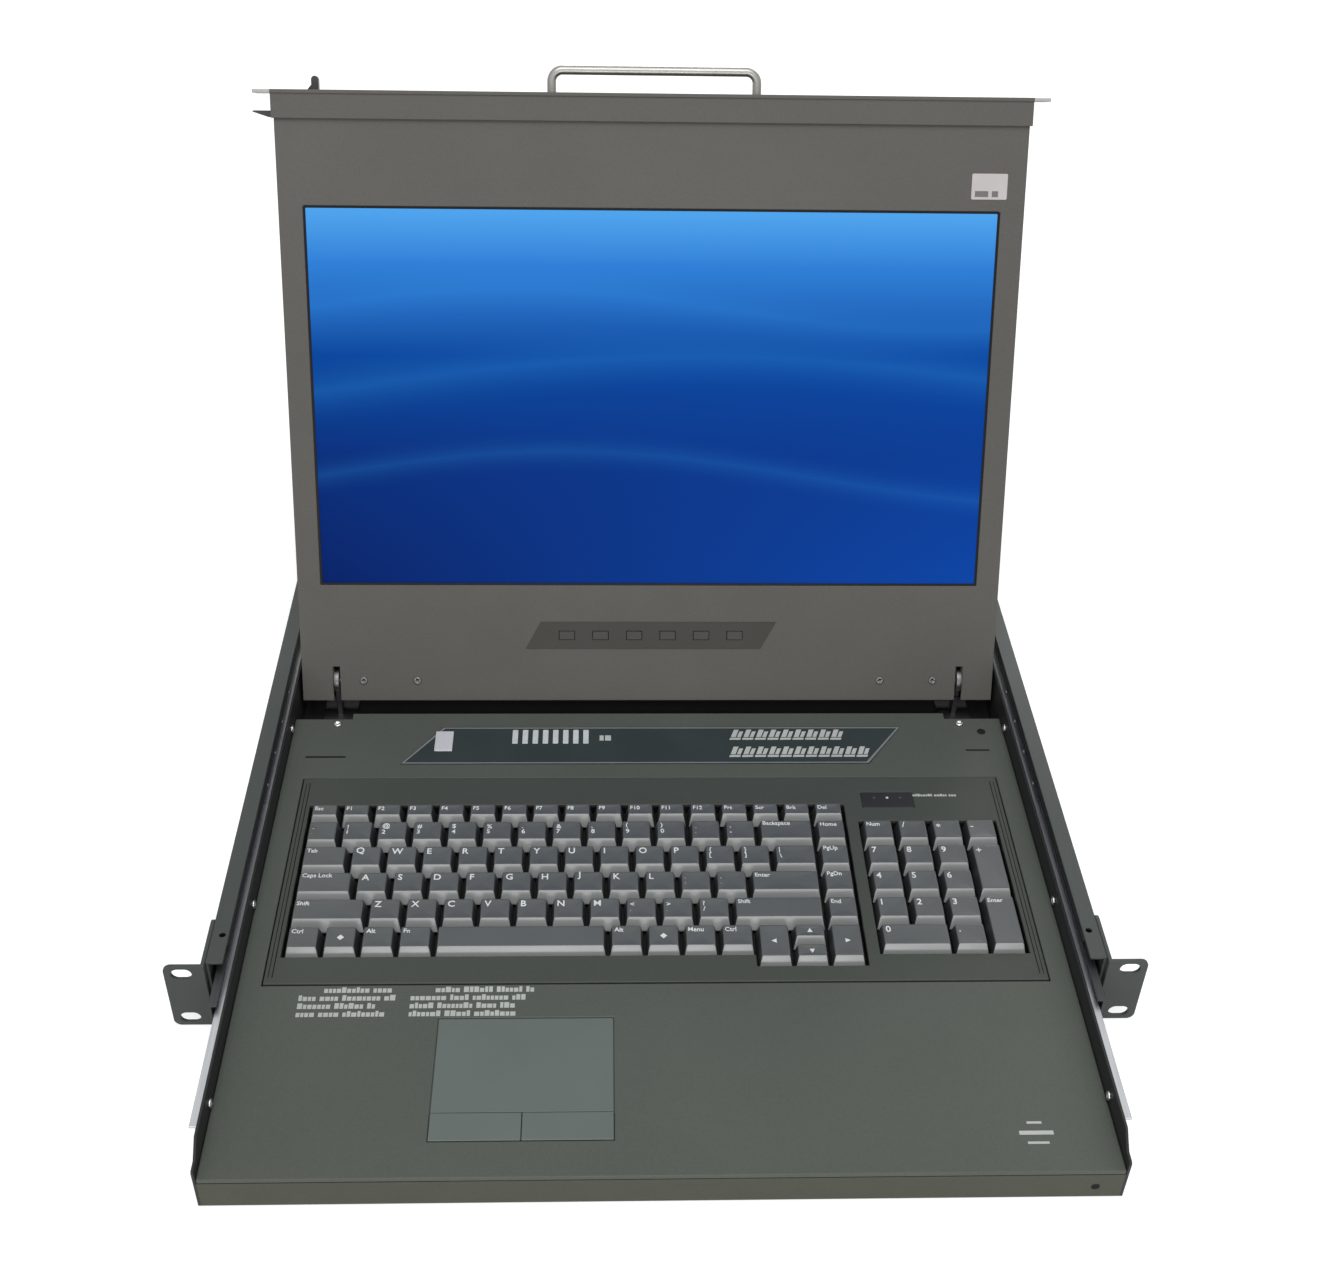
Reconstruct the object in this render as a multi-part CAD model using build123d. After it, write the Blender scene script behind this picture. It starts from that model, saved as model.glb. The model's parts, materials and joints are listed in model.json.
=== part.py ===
from build123d import *
import os

# A one-unit rack console drawer: a keyboard tray on telescopic slides with a folding display.
# X runs to the right, Y to the back and Z up. The origin is the centre of the front ears' four
# slots, on the face that bears on the rack's posts. The drawer is part way out and the display
# stands open. Sizes are in millimetres.
# Rack pieces are drawn with z above the bottom of the rack unit, drawer pieces with y behind the
# tray's front face too, and display pieces upright around the hinge axis, with the viewer at -Y.

# Rack unit and front ears
unit_height = 44.45
ear_height = 43.2
ear_width = 20.3
ear_slot_inset = 8.75
ear_slot_edge = 5.725
ear_sheet = 2.0
ear_web_length = 31.0
ear_corner = 4.0
slot_length = 10.0
slot_height = 7.0

# Fixed rails and what closes them at the back
slide_room = 9.0
rail_sheet = 1.5
rail_bottom = 1.0
rail_height = 42.4
rail_flange = 8.5
rail_start = 1.0
rail_behind_tray = 20.0
flange_hole_y = 19.0
flange_hole_d = 3.2
rear_ear_behind = 88.0
bracket_on_rail_length = 90.0
bracket_height = 30.0
bracket_slot_inset = 12.0
bracket_slot_run = 70.0
crossbar_depth = 8.0
crossbar_height = 12.0
crossbar_sheet = 1.5
crossbar_inset = 1.0
ear_screw_y = 22.0
ear_screw_pitch = 18.0
bracket_screw_inset = 24.0
bracket_screw_pitch = 46.0

# Telescopic slides
slide_height = 35.0
slide_centre = 22.0
slide_sheet = 1.2
outer_start = 16.0
outer_length = 532.0
middle_start_closed = 31.0
middle_length = 514.0
inner_start = 20.0
inner_length = 500.0
slide_lip = 6.6
web_gap = 1.3
inner_lip = 2.6
ball_d = 2.5
ball_play = 0.15
balls_per_race = 6
cage_sheet = 0.4
cage_strip = 0.6
cage_length = 160.0
outer_cage_closed = 150.0
inner_cage_closed = 200.0

# Drawer tray and deck
pulled_out = 100.0
display_play = 1.8
frame_side_margin = 12.3
tray_sheet = 1.2
tray_bottom = 1.0
tray_wall_top = 33.0
tray_nose_top = 26.0
tray_nose_length = 6.0
tray_nose_corner = 1.0
tray_screw_y = [38.0, 162.0, 300.0, 440.0]
tray_screw_z = 24.5
tray_slope_end = 14.0
deck_top = 20.0
deck_behind_panel = 13.0
deck_sheet = 1.2
deck_side_gap = 0.2
deck_nose = 2.4
deck_seam = 0.3
deck_skirt = 6.0
notch_inset = 31.5
notch_depth = 5.0
deck_screw_side = 8.0
deck_screw_inset = 5.0

# Keyboard
frame_border = 6.75
frame_behind_pad = 22.0
frame_front_margin = 18.0
frame_back_margin = 22.5
frame_rise = 0.4
seam = 0.6
key_floor = 13.0
key_floor_sheet = 3.0
dome_sheet_thickness = 1.2
key_pitch = 19.0
row_pitch = 19.2
function_row_depth = 13.5
backspace_width = 31.7
nav_width = 18.2
keypad_gap = 7.6
tab_width = 25.9
caps_width = 31.0
shift_width = 39.7
space_width = 88.8
arrow_drop = 7.5
pocket_margin = 0.5
key_gap = 1.1
key_top = 23.2
key_side_slope = 1.6
key_front_slope = 3.2
key_back_slope = 1.5
key_wall = 1.5
key_stem = 4.0
stem_clearance = 0.4
stem_depth = 0.6
key_travel = 2.2
key_floor_gap = 0.4
lock_window_inset = 3.3
lock_window_drop = 2.0
lock_window_width = 29.5
lock_window_depth = 12.0
lens_thickness = 1.0

# Touchpad
pad_left = -108.0
pad_width = 85.0
pad_front = 19.6
pad_depth = 70.4
pad_button_depth = 15.6
pad_split = 0.4
pad_rim = 4.0
pad_block = 4.0
button_clearance = 0.3
pad_button_height = 2.9
pad_button_proud = 0.1
pad_travel = 0.6
pad_button_gap = 0.2
pad_recess = 0.2

# Control panel behind the keyboard
panel_behind_frame = 12.0
panel_depth = 32.0
panel_front_left = -144.0
panel_front_right = 126.0
panel_lean = 22.0
panel_sheet = 0.4
led_count = 8
led_first_x = -79.3
led_pitch = 5.9
led_width = 3.2
led_depth = 12.0
led_behind = 23.4
light_proud = 0.2
select_x = -120.5
select_behind = 19.5
select_width = 10.5
select_depth = 17.0
select_proud = 1.0
select_travel = 0.8
switch_gap = 0.8
control_board_margin = 4.0
control_board_top = 11.6
board_sheet = 1.6
standoff_d = 6.0

# Electronics bay at the back of the tray
bay_behind_hinge = 31.5
bay_depth = 173.0
bay_top = 41.5
bay_sheet = 1.2
bay_skirt_bottom = 28.0
port_count = 8
port_pitch = 34.0
port_from_wall = 21.3
port_width = 31.0
port_height = 12.5
port_shell_width = 17.0
port_shell_height = 8.4
port_shell_out = 6.0
port_taper = 2.0
port_flange_sheet = 1.0
port_body_depth = 12.0
port_z = 20.0
inlet_from_wall = 44.3
inlet_plate_margin = 13.0
inlet_z = 21.0
inlet_width = 27.0
inlet_height = 20.0
inlet_flange = 5.0
inlet_flange_sheet = 2.0
inlet_depth = 22.0
inlet_wall = 1.5
inlet_pin_width = 4.0
inlet_pin_sheet = 2.0
inlet_pin_length = 14.0
inlet_pin_pitch = 7.0
inlet_pin_drop = 4.0
inlet_earth_rise = 2.0
inlet_flange_edge = 2.0
kvm_board_z = 8.0
kvm_board_depth = 90.0
supply_width = 78.0
supply_depth = 110.0
supply_height = 26.0
supply_side_gap = 2.0
supply_front_gap = 4.0

# Display, measured from its hinge axis
lean = 21.5
hinge_behind_deck = 21.5
hinge_z = 28.0
bezel_side = 13.5
below_hinge = 11.7
bezel_in_front = 4.0
display_thickness = 17.2
display_sheet = 1.2
screen_bottom = 60.0
screen_width = 388.0
screen_height = 216.5
panel_border = 1.5
panel_thickness = 4.0
backlight_border = 2.0
backlight_thickness = 4.0
driver_left = -60.0
driver_width = 160.0
driver_low = 120.0
driver_height = 90.0
driver_gap = 1.0
bezel_screw_x = [139.0, 171.0]
bezel_screw_h = 1.0

# Front plate, handle and latch on the display's free end
plate_setback = 3.0
plate_sheet = 2.0
plate_play = 0.5
shoulder_play = 0.7
plate_bottom = 21.5
plate_shoulder_z = 26.8
plate_top = 43.6
lip_width = 13.0
lip_sheet = 1.8
handle_span = 118.0
handle_rod_d = 5.0
handle_reach = 14.4
handle_depth = 6.0
handle_bend = 6.0
latch_in_rail = 0.1
latch_bar_length = 44.9
latch_back = 9.0
latch_bar = 3.6
latch_low = 6.5
latch_high = 10.9
latch_travel = 5.0
latch_clearance = 0.4
thumb_from_tip = 34.9
thumb_width = 4.0
thumb_out = 7.5
spring_length = 14.0
spring_d = 3.6
spring_wire = 0.5
spring_turns = 7
spring_stop = 2.0

# Hinges
arm_inset = 20.5
arm_sheet = 3.0
arm_slot = 4.0
arm_round = 7.0
arm_half_width = 4.0
arm_foot_sheet = 2.0
arm_foot_width = 20.0
arm_foot_depth = 34.0
slot_above_hinge = 9.5
pin_d = 3.5
pin_running = 0.05
pin_seat = 0.02
leaf_sheet = 2.0
leaf_gap = 0.4
leaf_height = 60.0
leaf_eye = 2.7
leaf_foot = 9.0
leaf_back = 2.0
pin_end = 1.0
slot_wall_gap = 0.3

# Buttons and membrane below the screen
osd_left = -74.0
osd_right = 66.0
osd_low = 21.1
osd_high = 37.6
osd_lean = 9.0
osd_sheet = 0.4
osd_count = 6
osd_button_width = 9.0
osd_button_height = 5.0
osd_button_proud = 0.5
osd_button_depth = 2.6
osd_pitch = 20.0

# Vents in the bay's cover and the display's back
vent_count = 14
vent_pitch = 7.0
vent_width = 2.5
vent_length = 34.0
vent_from_middle = 45.0
bay_vent_inset = 40.0
display_vent_low = 38.0

# Screws
screw_head_d = 6.0
screw_head = 1.7
screw_shank_d = 3.0
flat_head = 1.2
small_head_d = 4.6
thin_head = 0.8
screw_bite = 2.0
hole_play = 0.15

# How far a cutter runs past what it cuts
over = 1.0

# Places that follow from the sizes above, across
main_width = 13 * key_pitch + backspace_width
keyboard_width = main_width + nav_width + keypad_gap + 4 * key_pitch
keyboard_left = -keyboard_width / 2
main_right = keyboard_left + main_width
nav_right = main_right + nav_width
keypad_left = nav_right + keypad_gap
keypad_right = keypad_left + 4 * key_pitch
frame_half_width = keyboard_width / 2 + frame_border
display_half_width = screen_width / 2 + bezel_side
wall_in = max(display_half_width + display_play, frame_half_width + frame_side_margin)
wall_out = wall_in + tray_sheet
inlet_x = wall_in - inlet_from_wall
port_first_x = -wall_in + port_from_wall
rail_in = wall_out + slide_room
rail_out = rail_in + rail_sheet
ear_out = rail_out + ear_width
ear_slot_x = ear_out - ear_slot_inset
arm_x = display_half_width - arm_inset
notch_inner = display_half_width - notch_inset
pad_right = pad_left + pad_width
plate_half_width = rail_in - plate_play
plate_shoulder = wall_in - shoulder_play
latch_reach = rail_out - latch_in_rail
latch_inner = latch_reach - latch_bar_length
thumb_x = latch_reach - thumb_from_tip
lock_window_x = keypad_left + lock_window_inset

# From front to back, on the tray
pad_back = pad_front + pad_depth
pad_button_back = pad_front + pad_button_depth
frame_front = pad_back + frame_behind_pad
first_row_y = frame_front + frame_front_margin
arrow_front = first_row_y - arrow_drop
function_row_y = first_row_y + 5 * row_pitch
pocket_back = function_row_y + function_row_depth
frame_back = pocket_back + frame_back_margin
lock_window_y = pocket_back - lock_window_drop
panel_front_y = frame_back + panel_behind_frame
panel_back_y = panel_front_y + panel_depth
select_y = panel_front_y + select_behind
led_y = panel_front_y + led_behind
deck_depth = panel_back_y + deck_behind_panel
hinge_y = deck_depth + hinge_behind_deck
bay_start = hinge_y + bay_behind_hinge
tray_depth = bay_start + bay_depth
tray_front_closed = -ear_sheet - plate_setback
tray_front = tray_front_closed - pulled_out
rail_end = tray_front_closed + tray_depth + rail_behind_tray
rear_ear_face = rail_end + rear_ear_behind
bracket_start = rail_end - bracket_on_rail_length
bracket_slot_start = bracket_start + bracket_slot_inset
bracket_slot_end = bracket_slot_start + bracket_slot_run
bracket_screw_y = [bracket_start + bracket_screw_inset,
                   bracket_start + bracket_screw_inset + bracket_screw_pitch]

# Upwards
unit_bottom = -unit_height / 2
ear_low = (unit_height - ear_height) / 2
ear_high = ear_low + ear_height
ear_slot_z = [ear_low + ear_slot_edge, ear_high - ear_slot_edge]
rail_top = rail_bottom + rail_height
tray_floor = tray_bottom + tray_sheet
deck_under = deck_top - deck_sheet
key_bottom = key_floor + key_travel + key_floor_gap
select_bottom = control_board_top + select_travel + switch_gap
ear_screw_z = [unit_height / 2 - ear_screw_pitch / 2, unit_height / 2 + ear_screw_pitch / 2]

# In the display, from its hinge axis
reach = hinge_y - plate_setback
plate_in = reach - plate_sheet
bezel_front = -bezel_in_front
bezel_back = bezel_front + display_sheet
shell_back = bezel_front + display_thickness
shell_in = shell_back - display_sheet
screen_top = screen_bottom + screen_height
latch_top = plate_in - latch_back
latch_low_h = latch_top - latch_bar


def block(x0, x1, y0, y1, z0, z1):
    """A box between two corners."""
    return Pos((x0 + x1) / 2, (y0 + y1) / 2, (z0 + z1) / 2) * Box(x1 - x0, y1 - y0, z1 - z0)


def rod_x(x0, x1, y, z, radius):
    return Pos((x0 + x1) / 2, y, z) * Rot(0, 90, 0) * Cylinder(radius, x1 - x0)


def rod_y(x, y0, y1, z, radius):
    return Pos(x, (y0 + y1) / 2, z) * Rot(90, 0, 0) * Cylinder(radius, y1 - y0)


def rod_z(x, y, z0, z1, radius):
    return Pos(x, y, (z0 + z1) / 2) * Cylinder(radius, z1 - z0)


def plate_yz(points, x0, x1):
    """A flat plate with an outline in Y and Z."""
    return Pos(x0, 0, 0) * extrude(Plane.YZ * Polygon(*points, align=None), amount=x1 - x0)


def plate_xy(points, z0, z1):
    """A flat plate with an outline in X and Y."""
    return Pos(0, 0, z0) * extrude(Polygon(*points, align=None), amount=z1 - z0)


def plate_xz(points, y0, y1):
    """A flat plate with an outline in X and Z."""
    flipped = [(x, -z) for x, z in reversed(points)]
    outline = Rot(-90, 0, 0) * Polygon(*flipped, align=None)
    return Pos(0, y0, 0) * extrude(outline, amount=y1 - y0)


def slot_x(y0, y1, z, height, x0, x1):
    """A slot cutter through X that runs along Y between two rounded ends."""
    radius = height / 2
    middle = block(x0, x1, y0 + radius, y1 - radius, z - radius, z + radius)
    return middle + rod_x(x0, x1, y0 + radius, z, radius) + rod_x(x0, x1, y1 - radius, z, radius)


def slot_y(x, z, length, height, y0, y1):
    """A slot cutter through Y that runs along X."""
    half = (length - height) / 2
    middle = block(x - half, x + half, y0, y1, z - height / 2, z + height / 2)
    ends = rod_y(x - half, y0, y1, z, height / 2) + rod_y(x + half, y0, y1, z, height / 2)
    return middle + ends


def both_sides(shape):
    """The shape and its mirror image across the middle."""
    return group([shape, mirror(shape, about=Plane.YZ)])


def in_rack(shape):
    return Pos(0, 0, unit_bottom) * shape


def on_tray(shape):
    return Pos(0, tray_front, unit_bottom) * shape


def on_display(shape):
    return Pos(0, tray_front + hinge_y, unit_bottom + hinge_z) * Rot(-lean, 0, 0) * shape


def group(shapes):
    """Separate solids that share one node."""
    return Compound([solid for shape in shapes for solid in shape.solids()])


# Fixed frame in the rack

def latch_window(x0, x1):
    """The hole in the left rail and ear that the latch's tongue enters when all is shut."""
    y_back = tray_front_closed + hinge_y - latch_low_h + latch_clearance
    y_front = tray_front_closed + hinge_y - latch_top - latch_clearance
    z_low = hinge_z + latch_low - latch_clearance
    z_high = hinge_z + latch_high + latch_clearance
    return block(x0, x1, y_front, y_back, z_low, z_high)


def screw_holes_x(x0, x1, places):
    radius = screw_shank_d / 2 + hole_play
    return [rod_x(x0, x1, y, z, radius) for y, z in places]


def ear_screw_places():
    return [(ear_screw_y, z) for z in ear_screw_z]


def bracket_screw_places():
    return [(y, unit_height / 2) for y in bracket_screw_y]


def vent_places():
    """The left edge of each slot of the vents, right side first."""
    right = [vent_from_middle + index * vent_pitch for index in range(vent_count)]
    return right + [-x - vent_width for x in right]


def right_rail():
    web = block(rail_in, rail_out, rail_start, rail_end, rail_bottom, rail_top)
    flange_in = rail_out - rail_flange
    top = block(flange_in, rail_in, rail_start, rail_end, rail_top - rail_sheet, rail_top)
    bottom = block(flange_in, rail_in, rail_start, rail_end, rail_bottom, rail_bottom + rail_sheet)
    hole_x = flange_in + flange_hole_d
    hole = rod_z(hole_x, flange_hole_y, rail_top - rail_sheet - over, rail_top + over, flange_hole_d / 2)
    rail = web + top + bottom - hole
    places = ear_screw_places() + bracket_screw_places()
    for cutter in screw_holes_x(rail_in - over, rail_out + over, places):
        rail -= cutter
    return rail


def right_ear():
    plate = block(rail_out, ear_out, -ear_sheet, 0, ear_low, ear_high)
    corners = [e for e in plate.edges().filter_by(Axis.Y) if e.center().X > rail_out + over]
    plate = fillet(corners, ear_corner)
    web = block(rail_out, rail_out + ear_sheet, 0, ear_web_length, ear_low, ear_high)
    back_corners = [e for e in web.edges().filter_by(Axis.X) if e.center().Y > ear_web_length / 2]
    ear = plate + fillet(back_corners, ear_corner)
    for z in ear_slot_z:
        ear -= slot_y(ear_slot_x, z, slot_length, slot_height, -ear_sheet - over, over)
    for cutter in screw_holes_x(rail_out - over, rail_out + ear_sheet + over, ear_screw_places()):
        ear -= cutter
    return ear


def right_rear_bracket():
    z_low = (unit_height - bracket_height) / 2
    z_high = z_low + bracket_height
    x_out = rail_out + ear_sheet
    web = block(rail_out, x_out, bracket_start, rear_ear_face, z_low, z_high)
    height = screw_shank_d + 2 * hole_play
    slot = slot_x(bracket_slot_start, bracket_slot_end, unit_height / 2, height,
                  rail_out - over, x_out + over)
    ear = block(x_out, ear_out, rear_ear_face - ear_sheet, rear_ear_face, ear_low, ear_high)
    corners = [e for e in ear.edges().filter_by(Axis.Y) if e.center().X > x_out + over]
    bracket = web - slot + fillet(corners, ear_corner)
    for z in ear_slot_z:
        bracket -= slot_y(ear_slot_x, z, slot_length, slot_height,
                          rear_ear_face - ear_sheet - over, rear_ear_face + over)
    return bracket


def rear_crossbar():
    y0 = rail_end - crossbar_inset - crossbar_depth
    z0 = rail_bottom + rail_sheet
    bar = block(-rail_in, rail_in, y0, y0 + crossbar_depth, z0, z0 + crossbar_height)
    hollow_half = rail_in - crossbar_sheet
    bar -= block(-hollow_half, hollow_half, y0 + crossbar_sheet, y0 + crossbar_depth + over,
                 z0 + crossbar_sheet, z0 + crossbar_height - crossbar_sheet)
    return bar


def screw_x(face, end, y, z, head_d, head):
    """A pan-head screw along X: head outside the face, shank running to the end."""
    step = 1 if face > end else -1
    head_span = sorted([face, face + step * head])
    shank_span = sorted([face, end])
    return rod_x(*head_span, y, z, head_d / 2) + rod_x(*shank_span, y, z, screw_shank_d / 2)


def rail_screws():
    face = rail_out + ear_sheet
    places = ear_screw_places() + bracket_screw_places()
    right = [screw_x(face, rail_in, y, z, screw_head_d, screw_head) for y, z in places]
    return group(right + [mirror(s, about=Plane.YZ) for s in right])


# Telescopic slides, drawn for the right side

race_gap = ball_d + 2 * ball_play
outer_low = slide_centre - slide_height / 2
middle_low = outer_low + slide_sheet + race_gap
inner_low = middle_low + slide_sheet + race_gap
outer_in = rail_in - slide_sheet
lip_in = rail_in - slide_lip
middle_out = outer_in - web_gap
middle_in = middle_out - slide_sheet
inner_web = wall_out + slide_sheet
inner_out = inner_web + inner_lip


def c_member(web_x0, web_x1, lip_x0, lip_x1, y0, length, low):
    """A C-section: a web and a lip along its top and bottom."""
    high = 2 * slide_centre - low
    y1 = y0 + length
    web = block(web_x0, web_x1, y0, y1, low, high)
    bottom = block(lip_x0, lip_x1, y0, y1, low, low + slide_sheet)
    top = block(lip_x0, lip_x1, y0, y1, high - slide_sheet, high)
    return web + bottom + top


def right_outer_member():
    return c_member(outer_in, rail_in, lip_in, outer_in, outer_start, outer_length, outer_low)


def right_middle_member():
    start = middle_start_closed - pulled_out / 2
    return c_member(middle_in, middle_out, lip_in, middle_in, start, middle_length, middle_low)


def right_inner_member():
    member = c_member(wall_out, inner_web, inner_web, inner_out, inner_start, inner_length, inner_low)
    places = [(y, tray_screw_z) for y in tray_screw_y]
    for cutter in screw_holes_x(wall_out - over, inner_web + over, places):
        member -= cutter
    return member


def ball_cage(web_x0, strip_x0, ball_x, ball_z, y0):
    """A sheet retainer that holds a row of balls above and below."""
    web_x1 = web_x0 + cage_sheet
    low = ball_z - cage_strip / 2
    high = 2 * slide_centre - low
    cage = block(web_x0, web_x1, y0, y0 + cage_length, low, high)
    cage += block(strip_x0, web_x0, y0, y0 + cage_length, low, low + cage_strip)
    cage += block(strip_x0, web_x0, y0, y0 + cage_length, high - cage_strip, high)
    spacing = cage_length / balls_per_race
    for count in range(balls_per_race):
        y = y0 + (count + 0.5) * spacing
        cage += Pos(ball_x, y, ball_z) * Sphere(ball_d / 2)
        cage += Pos(ball_x, y, 2 * slide_centre - ball_z) * Sphere(ball_d / 2)
    return cage


def outer_cages():
    web = (outer_in + middle_out - cage_sheet) / 2
    ball_x = (lip_in + middle_out) / 2
    ball_z = outer_low + slide_sheet + race_gap / 2
    start = outer_cage_closed - pulled_out / 4
    return both_sides(ball_cage(web, lip_in + cage_strip, ball_x, ball_z, start))


def inner_cages():
    web = (inner_out + middle_in - cage_sheet) / 2
    ball_x = (lip_in + inner_out) / 2
    ball_z = middle_low + slide_sheet + race_gap / 2
    start = inner_cage_closed - 0.75 * pulled_out
    return both_sides(ball_cage(web, inner_web + cage_strip, ball_x, ball_z, start))


# Drawer: tray, deck and the bay behind

def tray():
    """A pan with its front edge folded up, between two side plates."""
    floor = block(-wall_in, wall_in, 0, tray_depth, tray_bottom, tray_floor)
    front = block(-wall_in, wall_in, 0, tray_sheet, tray_bottom, deck_top - deck_nose - deck_seam)
    outline = [(0, tray_bottom), (tray_depth, tray_bottom), (tray_depth, tray_wall_top),
               (tray_slope_end, tray_wall_top), (tray_nose_length, tray_nose_top),
               (tray_nose_corner, tray_nose_top), (0, tray_nose_top - tray_nose_corner)]
    wall = plate_yz(outline, wall_in, wall_out)
    for cutter in screw_holes_x(wall_in - over, wall_out + over, [(y, tray_screw_z) for y in tray_screw_y]):
        wall -= cutter
    return group([floor + front, wall, mirror(wall, about=Plane.YZ)])


def deck():
    half = wall_in - deck_side_gap
    sheet = block(-half, half, 0, deck_depth, deck_under, deck_top)
    nose = block(-half, half, 0, deck_sheet, deck_top - deck_nose, deck_under)
    plate = sheet + nose
    for side in (-1, 1):
        x0, x1 = sorted([side * half, side * (half - deck_sheet)])
        plate += block(x0, x1, deck_sheet, deck_depth - notch_depth, deck_under - deck_skirt, deck_under)
        x0, x1 = sorted([side * notch_inner, side * (half + over)])
        plate -= block(x0, x1, deck_depth - notch_depth, deck_depth + over,
                       deck_under - over, deck_top + over)
    opening = frame_half_width + seam
    plate -= block(-opening, opening, frame_front - seam, frame_back + seam,
                   deck_under - over, deck_top + over)
    plate -= block(pad_left - button_clearance, pad_right + button_clearance,
                   pad_front - button_clearance, pad_back + button_clearance,
                   deck_under - over, deck_top + over)
    plate -= select_hole(deck_under - over, deck_top + over)
    for x, y in deck_screw_places():
        plate -= rod_z(x, y, deck_under - over, deck_top + over, screw_shank_d / 2 + hole_play)
    return plate


def deck_screw_places():
    back = deck_depth - notch_depth - deck_screw_inset
    return [(side * (notch_inner + deck_screw_side), back) for side in (-1, 1)]


def drawer_screws():
    screws = []
    for y in tray_screw_y:
        screw = screw_x(-wall_in, -inner_web, y, tray_screw_z, small_head_d, flat_head)
        screws += [screw, mirror(screw, about=Plane.YZ)]
    for x, y in deck_screw_places():
        head = rod_z(x, y, deck_top, deck_top + flat_head, small_head_d / 2)
        screws.append(head + rod_z(x, y, deck_under - screw_bite, deck_top, screw_shank_d / 2))
    return group(screws)


# Keyboard

def key_cells():
    """Every key as (node, left, right, front, back) of its cell."""
    cells = []

    def run(node, left, width, count, front, back):
        for index in range(count):
            cells.append((node, left + index * width, left + (index + 1) * width, front, back))
        return left + count * width

    def span(node, left, right, front, back):
        cells.append((node, left, right, front, back))

    function_back = function_row_y + function_row_depth
    run("function_keys", keyboard_left, main_width / 16, 16, function_row_y, function_back)
    span("function_keys", main_right, nav_right, function_row_y, function_back)

    row = [first_row_y + index * row_pitch for index in range(6)]
    end = run("number_keys", keyboard_left, key_pitch, 13, row[4], row[5])
    span("backspace_key", end, main_right, row[4], row[5])
    span("upper_letter_keys", keyboard_left, keyboard_left + tab_width, row[3], row[4])
    end = run("upper_letter_keys", keyboard_left + tab_width, key_pitch, 12, row[3], row[4])
    span("upper_letter_keys", end, main_right, row[3], row[4])
    span("home_letter_keys", keyboard_left, keyboard_left + caps_width, row[2], row[3])
    end = run("home_letter_keys", keyboard_left + caps_width, key_pitch, 11, row[2], row[3])
    span("enter_key", end, main_right, row[2], row[3])
    span("lower_letter_keys", keyboard_left, keyboard_left + shift_width, row[1], row[2])
    end = run("lower_letter_keys", keyboard_left + shift_width, key_pitch, 10, row[1], row[2])
    span("lower_letter_keys", end, main_right, row[1], row[2])
    end = run("modifier_keys", keyboard_left, key_pitch, 4, row[0], row[1])
    span("space_bar", end, end + space_width, row[0], row[1])
    arrows_left = run("modifier_keys", end + space_width, key_pitch, 4, row[0], row[1])

    for index in range(1, 5):
        span("navigation_keys", main_right, nav_right, row[index], row[index + 1])
    width = (nav_right - arrows_left) / 3
    half = (arrow_front + row[1]) / 2
    span("navigation_keys", arrows_left, arrows_left + width, arrow_front, row[1])
    span("navigation_keys", arrows_left + width, arrows_left + 2 * width, arrow_front, half)
    span("navigation_keys", arrows_left + width, arrows_left + 2 * width, half, row[1])
    span("navigation_keys", arrows_left + 2 * width, nav_right, arrow_front, row[1])

    column = [keypad_left + index * key_pitch for index in range(5)]
    run("keypad_keys", keypad_left, key_pitch, 4, row[4], row[5])
    run("keypad_keys", keypad_left, key_pitch, 3, row[3], row[4])
    run("keypad_keys", keypad_left, key_pitch, 3, row[2], row[3])
    run("keypad_keys", keypad_left, key_pitch, 3, row[1], row[2])
    span("keypad_keys", column[3], column[4], row[2], row[4])
    span("keypad_keys", column[0], column[2], row[0], row[1])
    span("keypad_keys", column[2], column[3], row[0], row[1])
    span("keypad_keys", column[3], column[4], row[0], row[2])
    return cells


def key_cap(left, right, front, back):
    """One hollow key with sloping sides and the stem that presses the dome."""
    x0, x1 = left + key_gap / 2, right - key_gap / 2
    y0, y1 = front + key_gap / 2, back - key_gap / 2
    base = Pos((x0 + x1) / 2, (y0 + y1) / 2, key_bottom) * Rectangle(x1 - x0, y1 - y0)
    top_y0, top_y1 = y0 + key_front_slope, y1 - key_back_slope
    top_width = x1 - x0 - 2 * key_side_slope
    top = Pos((x0 + x1) / 2, (top_y0 + top_y1) / 2, key_top) * Rectangle(top_width, top_y1 - top_y0)
    cap = loft([base, top])
    x_wall = key_side_slope + key_wall
    cap -= block(x0 + x_wall, x1 - x_wall, y0 + key_front_slope + key_wall, y1 - key_back_slope - key_wall,
                 key_bottom - over, key_top - key_wall)
    stem_x, stem_y = (left + right) / 2, (front + back) / 2
    half = key_stem / 2
    return cap + block(stem_x - half, stem_x + half, stem_y - half, stem_y + half,
                       key_floor - stem_depth, key_top - key_wall)


def keyboard_base():
    """A frame flush with the deck, with two pockets for the keys and a hole for each stem."""
    under = key_floor - key_floor_sheet
    base = block(-frame_half_width, frame_half_width, frame_front, frame_back, under, deck_top + frame_rise)
    top = deck_top + frame_rise + over
    arrows_left = keyboard_left + 8 * key_pitch + space_width
    margin = pocket_margin
    pocket = block(keyboard_left - margin, nav_right + margin, first_row_y - margin,
                   pocket_back + margin, key_floor, top)
    pocket += block(arrows_left - margin, nav_right + margin, arrow_front - margin, first_row_y,
                    key_floor, top)
    keypad = block(keypad_left - margin, keypad_right + margin, first_row_y - margin,
                   function_row_y + margin, key_floor, top)
    window = block(lock_window_x, lock_window_x + lock_window_width, lock_window_y,
                   lock_window_y + lock_window_depth, deck_top + frame_rise - lens_thickness, top)
    half = key_stem / 2 + stem_clearance
    holes = []
    for _, left, right, y0, y1 in key_cells():
        x, y = (left + right) / 2, (y0 + y1) / 2
        holes.append(block(x - half, x + half, y - half, y + half, under - over, key_floor + over))
    return base - pocket - keypad - window - group(holes)


def dome_sheet():
    top = key_floor - key_floor_sheet
    return block(keyboard_left, keypad_right, arrow_front, pocket_back, top - dome_sheet_thickness, top)


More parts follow.
